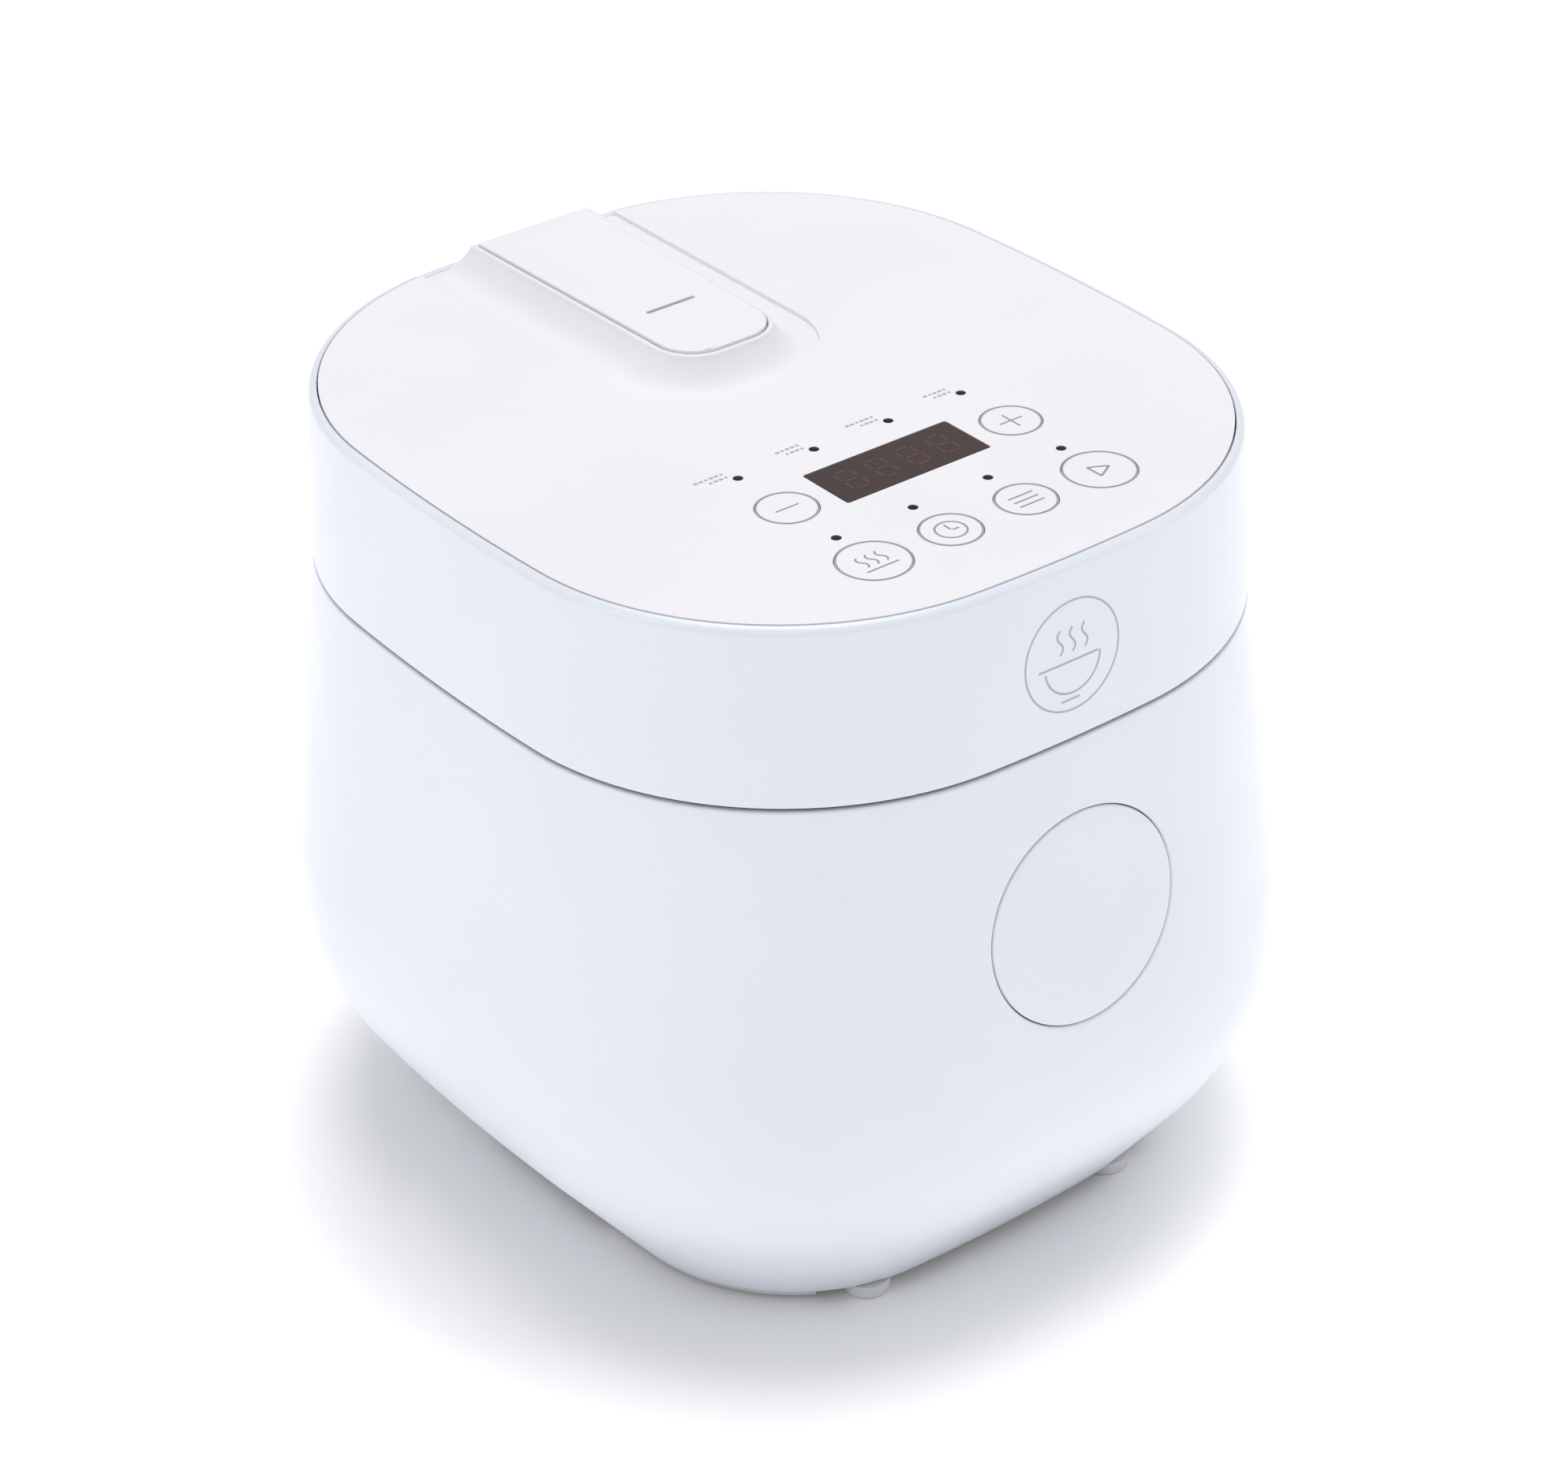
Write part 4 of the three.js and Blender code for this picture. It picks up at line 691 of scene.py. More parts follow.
def button_shape():
    """Rings about the button's middle that follow the wall, from the face round to the stem's tip."""
    face = [(radius, 0, 0) for radius in spread(0, BUTTON_DISC - 2, 9)]
    rest = [
        (BUTTON_DISC, 0, BUTTON_EDGE),
        (BUTTON_DISC, FLANGE_TOP, 0),
        (BUTTON_DISC + FLANGE_WIDTH, FLANGE_TOP, 0.3),
        (BUTTON_DISC + FLANGE_WIDTH, FLANGE_BOTTOM, 0.3),
        (BUTTON_DISC, FLANGE_BOTTOM, 0),
        (BUTTON_DISC, BUTTON_DEPTH, 0.4),
        (BUTTON_DISC - BUTTON_SKIN, BUTTON_DEPTH, 0.4),
        (BUTTON_DISC - BUTTON_SKIN, BUTTON_SKIN, 0),
        (STEM_RADIUS, BUTTON_SKIN, 0),
        (STEM_RADIUS, STEM_LENGTH - 1, 1),
        (3, STEM_LENGTH, 0.5),
        (0, STEM_LENGTH, 0),
    ]
    rings = []
    for radius, depth in rounded([*face, *rest], steps=5):
        flat = depth > BUTTON_DEPTH
        ring = []
        for point in circle(radius, steps=96):
            z = BUTTON_Z + point.y * math.cos(BUTTON_TILT)
            on_wall = wall_point(point.x, z, -1)
            on_plane = Vector((point.x, BUTTON_CENTRE.y + point.y * math.sin(BUTTON_TILT), z))
            ring.append((on_plane if flat else on_wall) + BUTTON_INWARDS * depth)
        rings.append(ring)
    return grid(rings)


stand_for("release_button", button_shape(), bevel=0)


# ---- lid shell

HINGE_LOW, HINGE_HIGH = box("hinge_housing")
HINGE_HALF = HINGE_HIGH.x
BARREL_RADIUS = 9
HINGE_Y = HALF_Y - body_inset(SEAM_Z) - BARREL_RADIUS
HINGE_Z = HINGE_HIGH.z - BARREL_RADIUS
SWEEP_RADIUS = BARREL_RADIUS + 1.3
NOTCH_HALF = HINGE_HALF + 2
NOTCH_TOP_Z = HINGE_Z + SWEEP_RADIUS
STEP_RUN = 0.3
RECESS_HALF = 33
RECESS_DEPTH = 1.2
RECESS_FRONT_Y = 4
RECESS_CORNER = 26


def rear_pair(x, inset):
    """Directions of the outline's two rear points at x and -x."""
    turn = turn_at_x(x, inset)
    return [turn, math.pi - turn]


def lid_turns():
    """The lid's columns, with close pairs at the sides of the hinge notch and of the steam recess."""
    inset = lid_inset(SEAM_Z)
    edges = [x + step for x in (NOTCH_HALF, RECESS_HALF) for step in (-STEP_RUN, STEP_RUN)]
    return outline_turns([turn for x in edges for turn in rear_pair(x, inset)])


def lid_shell_sheet():
    """The lid's side wall and the rounded rim round the panel, with the notch for the hinge at the rear."""
    wall_top_z = LID_TOP_Z - LID_RIM
    turns = lid_turns()
    rings = []
    for share in [*spread(0, 1, 24), 1]:
        ring = []
        for turn in turns:
            place = outline_point(turn, lid_inset(SEAM_Z))
            notched = place.y > 0 and abs(place.x) < NOTCH_HALF
            bottom_z = NOTCH_TOP_Z if notched else LID_BOTTOM_Z
            z = bottom_z + (wall_top_z - bottom_z) * share
            ring.append((*outline_point(turn, lid_inset(z)), z))
        rings.append(ring)
    for step in range(1, 10):
        lean = math.pi / 2 * step / 9
        inset = lid_inset(wall_top_z) + LID_RIM * (1 - math.cos(lean))
        z = wall_top_z + LID_RIM * math.sin(lean)
        ring = []
        for turn in turns:
            place = outline_point(turn, inset)
            recessed = place.y > 0 and abs(place.x) < RECESS_HALF
            ring.append((*place, min(z, LID_TOP_Z - RECESS_DEPTH) if recessed else z))
        rings.append(ring)
    return grid(rings)


stand_for("lid_shell", lid_shell_sheet(), bevel=0.35, wall=LID_WALL)


# ---- top panel and steam outlet

PANEL_GAP = 0.45
PANEL_INSET = lid_inset(LID_TOP_Z - LID_RIM) + LID_RIM + PANEL_GAP
PANEL_THICKNESS = 3
CAP_LOW, CAP_HIGH = box("steam_cap")
CAP_FRONT_HALF = 18
CAP_REAR_HALF = CAP_HIGH.x
CAP_CORNER = 13
CAP_TOP_Z = CAP_HIGH.z
CAP_THICKNESS = 2.7
CAP_EDGE_INSET = 1.95
CAP_SLOT_LENGTH = 16
CAP_SLOT_WIDTH = 1.4
CAP_CLIP_Y = (CAP_LOW.y + 13, CAP_HIGH.y - 13)
CAP_CLIP_SIZE = Vector((8, 3))
CAP_CLIP_DEPTH = 5.5
CAP_CLIP_GAP = Vector((1.2, 1.2))
STEAM_Y = 44
STEAM_RADIUS = 7
MOUND_FLARE = 9
MOUND_HOLLOW = 2.5
MOUND_RIM_DROP = 0.5
MOUND_RIM_WIDTH = 1.5
MOUND_SKIN = 2
REAR_FLARE = 4

KEY_PITCH = 24.5
KEYS = ("minus", "plus", "keep_warm", "timer", "menu", "start")
KEY_FLANGE = 1.4
DOT_GUIDES = ("dot_guide_rear", "dot_guide_front")
DOT_RADIUS = 1.25
DOT_GAP = 0.15
WINDOW_GAP = 0.2
WINDOW_CORNER = 0.8


def column_x(column):
    return (column - 1.5) * KEY_PITCH


def key_place(name):
    """Centre and radius of a key's round top. The CAD key's flange is wider than its top by KEY_FLANGE."""
    low, high = box(f"key_{name}")
    return Vector(middle_of(f"key_{name}")), (high.x - low.x) / 2 - KEY_FLANGE


def dot_places():
    """Centres of the black indicator dots, two rows of four."""
    rows = [middle_of(node)[1] for node in DOT_GUIDES]
    return [(column_x(column), y) for y in rows for column in range(4)]


def cap_outline(offset):
    """The steam cap's tongue, grown by an offset."""
    return tongue(
        CAP_FRONT_HALF + offset,
        CAP_REAR_HALF + offset,
        CAP_LOW.y - offset,
        CAP_HIGH.y + min(offset, REAR_FLARE),
        CAP_CORNER + offset,
    )


def recess_path():
    """The step round the front of the steam recess, from the panel's rear edge right to left."""
    right, left = (outline_point(turn, PANEL_INSET) for turn in rear_pair(RECESS_HALF, PANEL_INSET))
    loop = tongue(RECESS_HALF, RECESS_HALF, RECESS_FRONT_Y, right.y, RECESS_CORNER)
    return [right, *reversed(loop[1:-1]), left]


def panel_shape():
    """The flat panel round the recess, the recess floor, and the raised mound that carries the steam cap."""
    turns = outline_turns(rear_pair(RECESS_HALF, PANEL_INSET))
    right_turn, left_turn = rear_pair(RECESS_HALF, PANEL_INSET)
    rear = [outline_point(turn, PANEL_INSET) for turn in turns if right_turn < turn < left_turn]
    rest = [outline_point(turn, PANEL_INSET) for turn in turns if turn > left_turn + 1e-6]
    rest += [outline_point(turn, PANEL_INSET) for turn in turns if turn < right_turn - 1e-6]
    step = recess_path()
    holes = [circle(radius + SEAM_GAP, centre, 64) for centre, radius in map(key_place, KEYS)]
    holes += [circle(DOT_RADIUS + DOT_GAP, place, 24) for place in dot_places()]
    holes.append(window_outline(WINDOW_GAP))
    bottom_z = LID_TOP_Z - PANEL_THICKNESS
    floor_z = LID_TOP_Z - RECESS_DEPTH
    upper = plate([*step, *rest], holes, bottom_z, LID_TOP_Z)
    mouth = cap_outline(MOUND_FLARE / 2)
    lower = plate([*reversed(step), *rear], [mouth], bottom_z, floor_z)
    return joined(upper, lower, mound_shape(floor_z))


def mound_shape(floor_z):
    """A rim that rises from the recess floor in a hollow curve, with the seat for the cap inside it."""
    rim_z = CAP_TOP_Z - MOUND_RIM_DROP
    seat_z = CAP_TOP_Z - CAP_THICKNESS - SEAM_GAP
    rim = MOUND_RIM_WIDTH / 2
    height = rim_z - rim - floor_z
    outer = []
    for share in [*spread(0, 1, 16), 1]:
        outer.append((MOUND_FLARE * (1 - share), floor_z + height * share**MOUND_HOLLOW))
    top = []
    for turn in spread(0.3, math.pi, 6):
        top.append((-rim + rim * math.cos(turn), rim_z - rim + rim * math.sin(turn)))
    inner = [(-2 * rim, rim_z - rim), (-2 * rim, seat_z - MOUND_SKIN), (0, seat_z - MOUND_SKIN)]
    under = [(MOUND_FLARE / 2 - 1, floor_z - 0.4), (MOUND_FLARE - 1.5, floor_z - 0.4)]
    wall = grid(
        [[(*point, z) for point in cap_outline(offset)] for offset, z in [*outer, *top, *inner, *under]],
        closed_rows=True,
    )
    clip_hole = CAP_CLIP_SIZE + CAP_CLIP_GAP
    holes = [circle(STEAM_RADIUS, (0, STEAM_Y)), *(rectangle(*clip_hole, (0, y), 0.6) for y in CAP_CLIP_Y)]
    seat = plate(cap_outline(-MOUND_RIM_WIDTH), holes, seat_z - MOUND_SKIN, seat_z)
    return joined(wall, seat)


def window_outline(offset):
    low, high = box("display_window")
    size = [high.x - low.x + 2 * offset, high.y - low.y + 2 * offset]
    return rectangle(*size, middle_of("display_window"), WINDOW_CORNER)


def steam_cap_shape():
    """The lift-off cap: a flat tongue with a narrow steam slot, and two clips under it."""
    slot = rectangle(CAP_SLOT_LENGTH, CAP_SLOT_WIDTH, (0, STEAM_Y), 0.6)
    low_z = CAP_TOP_Z - CAP_THICKNESS
    clip_z = (low_z - CAP_CLIP_DEPTH, low_z + 0.5)
    clips = [plate(rectangle(*CAP_CLIP_SIZE, (0, y), 0.4), [], *clip_z) for y in CAP_CLIP_Y]
    return joined(plate(cap_outline(-CAP_EDGE_INSET), [slot], low_z, CAP_TOP_Z), *clips)


stand_for("top_panel", panel_shape(), bevel=0)
stand_for("steam_cap", steam_cap_shape(), bevel=0.3)


# ---- keys, dots, window and their marks

INK_HEIGHT = 0.04
LINE_WIDTH = 0.55
UPRIGHT = math.pi / 2
KEY_STEM = 2
KEY_FLANGE_THICKNESS = 1.2


def key_shape(name):
    """A round key: its flush top, the flange that holds it under the panel, and its stem."""
    (low, high), (centre, radius) = box(f"key_{name}"), key_place(name)
    flange_z = LID_TOP_Z - PANEL_THICKNESS - SEAM_GAP
    under_z = flange_z - KEY_FLANGE_THICKNESS
    profile = [
        (0, low.z, 0),
        (KEY_STEM, low.z, 0.3),
        (KEY_STEM, under_z, 0),
        (radius + KEY_FLANGE, under_z, 0.2),
        (radius + KEY_FLANGE, flange_z, 0.2),
        (radius, flange_z, 0),
        (radius, high.z, 0.3),
        (0, high.z, 0),
    ]
    return lathe(profile, centre, 72, corner_steps=4)


def mark(name, shapes, body, slot, ink, z):
    """Printed marks: thin flat shapes that stand just proud of a face at height z."""
    plates = [plate(outer, holes, z - INK_HEIGHT, z + INK_HEIGHT) for outer, holes in shapes]
    made = mesh_object(name, joined(*plates))
    soften(made, 0)
    dress(made, body, slot, ink)


def ring(radius, width, centre):
    return circle(radius, centre, 64), [circle(radius - width, centre, 64)]


def bar(width, centre, turn=0.0, thickness=LINE_WIDTH):
    return rectangle(width, thickness, centre, 0.2, turn), []


def stroke(path):
    """A line of even width along a path of points."""
    left, right = [], []
    for number, point in enumerate(path):
        ahead = path[min(number + 1, len(path) - 1)] - path[max(number - 1, 0)]
        aside = Vector((-ahead.y, ahead.x)).normalized() * LINE_WIDTH / 2
        left.append(point + aside)
        right.append(point - aside)
    return [*right, *reversed(left)], []


def wave(centre, height=5.4, swing=0.7):
    """One rising wave of warm air."""
    path = []
    for share in [*spread(0, 1, 16), 1]:
        path.append(Vector((swing * math.sin(TAU * share), height * (share - 0.5))) + centre)
    return stroke(path)


def triangle(centre, left, right, half, radius):
    """A triangle that points to the right."""
    return [point + centre for point in rounded([(left, -half), (right, 0), (left, half)], radius)]


def key_marks(name, centre, radius):
    """The sign printed on a key, in a thin ring round its edge."""
    here = Vector(centre)
    signs = {
        "minus": [bar(7.4, here)],
        "plus": [bar(7.4, here), *(bar(3.4, here + Vector((0, y)), UPRIGHT) for y in (2.0, -2.0))],
        "keep_warm": [
            *(wave(here + Vector((x, 0.9))) for x in (-3, 0, 3)),
            bar(10, here - Vector((0, 3.6))),
        ],
        "timer": [
            ring(4.4, LINE_WIDTH, here),
            bar(3, here + Vector((0, 1.5)), UPRIGHT),
            bar(2.2, here + Vector((1.3, -0.3))),
        ],
        "menu": [bar(8, here + Vector((0, y))) for y in (-2.4, 0, 2.4)],
        "start": [(triangle(here, -2.2, 3.8, 3.4, 0.5), [triangle(here, -1.55, 2.55, 2.35, 0.3)])],
    }
    return [ring(radius - 0.1, 0.4, centre), *signs[name]]


def make_keys():
    for name in KEYS:
        node = f"key_{name}"
        centre, radius = key_place(name)
        stand_for(node, key_shape(name), bevel=0)
        signs = key_marks(name, centre, radius)
        mark(f"{node}_sign", signs, BODY_OF_NODE[node], "panel_plastic", LEGEND_INK, LID_TOP_Z)


def dot_guide_shape(node):
    """Four light posts on a bar under the panel, ending flush with it."""
    low, high = box(node)
    y = middle_of(node)[1]
    bar_top = LID_TOP_Z - PANEL_THICKNESS - SEAM_GAP
    foot_z = bar_top - 0.5
    profile = [(0, foot_z, 0), (DOT_RADIUS, foot_z, 0), (DOT_RADIUS, high.z, 0.15), (0, high.z, 0)]
    posts = [lathe(profile, (column_x(column), y), 32, corner_steps=3) for column in range(4)]
    rail = rectangle(high.x - low.x, high.y - low.y, (0, y), 1)
    return joined(plate(rail, [], low.z, bar_top), *posts)


def label_marks():
    """Two rows of short printed dashes beside each indicator dot, in place of wording."""
    dashes = []
    for number, (x, y) in enumerate(dot_places()[:4]):
        for count, rise in ((6 - number % 2, 4.3), (4, 2.2)):
            for step in range(count):
                length = 1.2 if step % 3 else 0.8
                dashes.append(bar(length, (x - 2.2 - 1.6 * step, y + rise), thickness=0.9))
    return dashes


MARK_Z = 197
MARK_RADIUS = 15.5
BOWL_RADIUS = 9
BOWL_DROP = 1.5


def lid_front_point(x, z, depth):
    """The point of the lid's front wall at x and z, moved out by a depth."""
    inset = lid_inset(z) - depth
    return Vector((x, -outline_point(turn_at_x(abs(x), inset), inset).y, z))


def front_mark():
    """A bowl under three waves of steam in a ring, printed on the lid's front."""
    bowl = []
    for turn in spread(0, math.pi, 24):
        bowl.append(Vector((BOWL_RADIUS * math.cos(turn), -BOWL_RADIUS * math.sin(turn) - BOWL_DROP)))
    rim = [Vector((x, -BOWL_DROP)) for x in spread(-11, 11.01, 8)]
    foot = [Vector((x, -12.2)) for x in spread(-4, 4.01, 4)]
    shapes = [stroke(bowl), stroke(rim), stroke(foot), ring(MARK_RADIUS, 0.5, (0, 0))]
    shapes += [wave(Vector((x, 4.6)), 7, 0.9) for x in (-4, 0, 4)]
    points, faces = joined(*(plate(outer, holes, -INK_HEIGHT, INK_HEIGHT) for outer, holes in shapes))
    return [lid_front_point(x, MARK_Z + y, depth) for x, y, depth in points], faces


def make_front_mark():
    made = mesh_object("front_mark", front_mark())
    soften(made, 0)
    dress(made, "lid", "white_plastic", LABEL_INK)


DIGIT_HEIGHT = 9.4
DIGIT_WIDTH = 5.0
DIGIT_LINE = 0.8
DIGIT_PITCH = 10


def digit(centre):
    """All seven bars of one display digit."""
    half = DIGIT_HEIGHT / 2
    middle = Vector(centre)
    level = [bar(DIGIT_WIDTH - 1.6, middle + Vector((0, y)), 0.0, DIGIT_LINE) for y in (-half, 0, half)]
    upright = [
        bar(half - 1.2, middle + Vector((x, y)), UPRIGHT, DIGIT_LINE)
        for x in (-DIGIT_WIDTH / 2, DIGIT_WIDTH / 2)
        for y in (-half / 2, half / 2)
    ]
    return [*level, *upright]


def make_display():
    low, high = box("display_window")
    stand_for("display_window", plate(window_outline(0), [], low.z, high.z), bevel=0.15)
    middle_y = middle_of("display_window")[1]
    centres = [((column - 1.5) * DIGIT_PITCH, middle_y) for column in range(4)]
    digits = [part for centre in centres for part in digit(centre)]
    mark("display_digits", digits, "lid", "smoked_window", SEGMENT_GLOW, high.z - 0.01)


make_keys()
make_display()
for guide in DOT_GUIDES:
    stand_for(guide, dot_guide_shape(guide), bevel=0, ink=DOT_LENS)
mark("dot_labels", label_marks(), "lid", "panel_plastic", LABEL_INK, LID_TOP_Z)
make_front_mark()


# ---- hinge

HINGE_EARS = ((-47.2, -40.8), (40.8, 47.2))
EAR_GAP = 0.8
EAR_RADIUS = 6.2


def hinge_profile(top_z):
    """The housing's section, as (y, z): a barrel on a block, cut off at a height."""
    foot_z = HINGE_LOW.z
    barrel = [
        (HINGE_Y + BARREL_RADIUS * math.cos(turn), HINGE_Z + BARREL_RADIUS * math.sin(turn))
        for turn in [*spread(0, math.pi, 30), math.pi]
    ]
    section = [*barrel, (HINGE_Y - BARREL_RADIUS, foot_z), (HINGE_Y + BARREL_RADIUS, foot_z)]
    section.append((HINGE_Y + BARREL_RADIUS, SEAM_Z - 0.2))
    section.append((HINGE_Y + BARREL_RADIUS, SEAM_Z + 0.2))
    return [(y, min(z, top_z)) for y, z in section]


def hinge_block(x_range, top_z):
    """A length of the housing whose rear face follows the body's outline."""
    low, high = x_range
    steps = max(3, round((high - low) / 3))
    rings = []
    for x in [*spread(low, high, steps), high]:
        above = outline_point(turn_at_x(abs(x), body_inset(SEAM_Z)), body_inset(SEAM_Z)).y
        ring = []
        for y, z in hinge_profile(top_z):
            limit = above if z > SEAM_Z else above - SHELL_WALL - 2 * SEAM_GAP
            ring.append((x, min(y, limit), z))
        rings.append(ring)
    return capped(rings)


def hinge_shape():
    """The housing across the rear, with two slots for the lid's ears."""
    slots = [x for low, high in HINGE_EARS for x in (low - EAR_GAP, high + EAR_GAP)]
    edges = [-HINGE_HALF, *slots, HINGE_HALF]
    tall = [hinge_block(pair, math.inf) for pair in zip(edges[::2], edges[1::2])]
    rails = [hinge_block(pair, HINGE_Z - EAR_RADIUS - EAR_GAP) for pair in zip(edges[1:-1:2], edges[2:-1:2])]
    return joined(*tall, *rails)


PIN_HALF = HINGE_EARS[1][1] + 3

stand_for("hinge_housing", hinge_shape(), bevel=0.5)
PIN_RADIUS = box("hinge_pin")[1].z - HINGE_Z
stand_for("hinge_pin", axle(PIN_RADIUS, (-PIN_HALF, PIN_HALF), (HINGE_Y, HINGE_Z)), bevel=0)


# ---- deck, pot, liner and heater

LATCH_SLOT_HALF = 8.7
LATCH_SLOT_Y = (-115.4, -101.5)
DECK_DROP = 3.5
DECK_THICKNESS = 3
DECK_HOLE = 92.5
POT_RADIUS = 90
POT_WALL = 2
POT_FLANGE = 1.8
LINER_RADIUS = 94
LINER_WALL = 1
SENSOR_HOLE = 7
PLATE_HOLE = 18


def deck_shape():
    """The deck between the shell and the pot, with the latch's slot."""
    top_z = SEAM_Z - DECK_DROP
    front, rear = LATCH_SLOT_Y
    slot = rectangle(2 * LATCH_SLOT_HALF, rear - front, (0, (front + rear) / 2), 0.8)
    outer = outline_loop(body_inset(top_z) + SHELL_WALL + SEAM_GAP)
    return plate(outer, [circle(DECK_HOLE, steps=128), slot], top_z - DECK_THICKNESS, top_z)


def pot_shape():
    """The pot: a bowl with a rolled flange that hangs on the deck."""
    low, high = box("inner_pot")
    inner, flange_z = POT_RADIUS - POT_WALL, high.z - POT_FLANGE
    profile = [
        (0, low.z, 0),
        (POT_RADIUS, low.z, 22),
        (POT_RADIUS, flange_z, 0.4),
        (high.x, flange_z, 0.8),
        (high.x, high.z, 0.8),
        (inner, high.z, 1.6),
        (inner, low.z + POT_WALL, 20),
        (0, low.z + POT_WALL, 0),
    ]
    return lathe(profile, steps=160, corner_steps=9)


def liner_shape():
    """The steel liner that hangs under the deck round the pot."""
    low, high = box("inner_liner")
    inner, flange_z = LINER_RADIUS - LINER_WALL, high.z - LINER_WALL
    profile = [
        (SENSOR_HOLE, low.z, 0),
        (LINER_RADIUS, low.z, 10),
        (LINER_RADIUS, flange_z, 0.2),
        (high.x, flange_z, 0.2),
        (high.x, high.z, 0.2),
        (inner, high.z, 1),
        (inner, low.z + LINER_WALL, 9),
        (SENSOR_HOLE, low.z + LINER_WALL, 0),
    ]
    return lathe(profile, steps=128)


def heating_plate_shape():
    low, high = box("heating_plate")
    profile = [(PLATE_HOLE, low.z, 0.5), (high.x, low.z, 4), (high.x, high.z, 2), (PLATE_HOLE, high.z, 0.5)]
    return lathe(profile, steps=128)


def sensor_cap_shape():
    """The sensor's cap on its stem."""
    low, high = box("sensor_cap")
    stem, under_z = 5, high.z - 5
    profile = [(0, low.z, 0), (stem, low.z, 0.5), (stem, under_z, 0)]
    profile += [(high.x, under_z, 0.4), (high.x, high.z, 1.2), (0, high.z, 0)]
    return lathe(profile, steps=64)


stand_for("upper_ring", deck_shape(), bevel=0.4)
stand_for("inner_pot", pot_shape(), bevel=0)
stand_for("inner_liner", liner_shape(), bevel=0)
stand_for("heating_plate", heating_plate_shape(), bevel=0)
stand_for("sensor_cap", sensor_cap_shape(), bevel=0)


# ---- underside of the lid

PROBE_Y = -30
PROBE_HOLE = 3.3
STEAM_TUBE = 9
BORE_MARGIN = 0.01
DISC_THICKNESS = 1.2
DISC_DOME = 1.5


def column_cutter(radius, centre, z_range):
    return plate(circle(radius, centre, 48), [], *z_range)


def inner_lid_shape():
    """A pressed disc, domed inside a flat brim."""
    low, high = box("inner_lid")
    edge, upper_z, dome_z = high.x, low.z + DISC_THICKNESS, low.z + DISC_DOME
    bend_end = edge - 9
    bend_start = bend_end - 18
    profile = [
        (0, dome_z, 0),
        (bend_start, dome_z, 8),
        (bend_end, low.z, 8),
        (edge, low.z, 0.3),
        (edge, upper_z, 0.3),
        (bend_end, upper_z, 8),
        (bend_start, high.z, 8),
        (0, high.z, 0),
    ]
    return lathe(profile, steps=144)


def gasket_shape():
    """A silicone ring that grips the disc's edge between two lips."""
    low, high = box("lid_gasket")
    disc_low, disc_high = box("inner_lid")
    grip, lip = disc_high.x + SEAM_GAP, disc_high.x - 2.3
    slot_low, slot_high = disc_low.z - SEAM_GAP, disc_low.z + DISC_THICKNESS + SEAM_GAP
    profile = [
        (lip, low.z, 0.8),
        (high.x, low.z, 1.6),
        (high.x, high.z, 0.8),
        (lip, high.z, 0.8),
        (lip, slot_high, 0.3),
        (grip, slot_high, 0.1),
        (grip, slot_low, 0.1),
        (lip, slot_low, 0.3),
    ]
    return lathe(profile, steps=144)


def lid_frame_shape():
    """The lid's inner frame: a flat ring, the dish over the disc, the steam tube and the two hinge ears."""
    low, high = box("lid_frame")
    dish = box("lid_gasket")[1].x + 1.2
    wall = 2
    plate_top, ceiling = low.z + wall, SEAM_Z + 6.9
    inset = lid_inset(low.z) + LID_WALL + SEAM_GAP
    notch_y = HINGE_Y - SWEEP_RADIUS
    turns = outline_turns(rear_pair(NOTCH_HALF, inset))
    right_turn, left_turn = rear_pair(NOTCH_HALF, inset)
    kept = [turn for turn in turns if turn > left_turn - 1e-6]
    kept += [turn for turn in turns if turn < right_turn + 1e-6]
    edge = [outline_point(turn, inset) for turn in kept]
    edge += [Vector((NOTCH_HALF, notch_y)), Vector((-NOTCH_HALF, notch_y))]
    window = rectangle(13, 16, (0, box("latch_lever")[1].y - 6), 0.8)
    ring_plate = plate(edge, [circle(dish + 0.5, steps=144), window], low.z, plate_top)
    dish_profile = [
        (0, ceiling, 0),
        (dish, ceiling, 1.2),
        (dish, low.z, 0.3),
        (dish + wall, low.z, 0),
        (dish + wall, ceiling + wall, 2),
        (0, ceiling + wall, 0),
    ]
    bore = STEAM_RADIUS + BORE_MARGIN
    tube_profile = [(bore, ceiling, 0), (STEAM_TUBE, ceiling, 0)]
    tube_profile += [(STEAM_TUBE, high.z, 0.3), (bore, high.z, 0.3)]
    tube = lathe(tube_profile, (0, STEAM_Y))
    ears = []
    for ear in HINGE_EARS:
        ears.append(axle(EAR_RADIUS, ear, (HINGE_Y, HINGE_Z)))
        web_y = (notch_y - 4, HINGE_Y)
        ears.append(block(ear, web_y, (plate_top - 0.5, HINGE_Z + 3.5)))
    return joined(ring_plate, lathe(dish_profile, steps=144), tube, *ears)


def seal_shape():
    low, high = box("steam_seal")
    corners = ((STEAM_RADIUS, low.z), (STEAM_TUBE, low.z), (STEAM_TUBE, high.z), (STEAM_RADIUS, high.z))
    return lathe([(*corner, 0.4) for corner in corners], (0, STEAM_Y), 64)


def probe_shape():
    low, high = box("lid_probe")
    profile = [(0, low.z, 0), (high.x, low.z, 1.2), (high.x, high.z, 0.4), (0, high.z, 0)]
    return lathe(profile, (0, PROBE_Y))


STEAM_BORE = column_cutter(STEAM_RADIUS, (0, STEAM_Y), (160, 240))
PROBE_BORE = column_cutter(PROBE_HOLE, (0, PROBE_Y), (160, 200))
stand_for("lid_frame", lid_frame_shape(), bevel=0.3, cutters=[STEAM_BORE])
stand_for("inner_lid", inner_lid_shape(), bevel=0, cutters=[STEAM_BORE, PROBE_BORE])
stand_for("lid_gasket", gasket_shape(), bevel=0)
stand_for("steam_seal", seal_shape(), bevel=0)
stand_for("lid_probe", probe_shape(), bevel=0)


# ---- base, feet and mains inlet

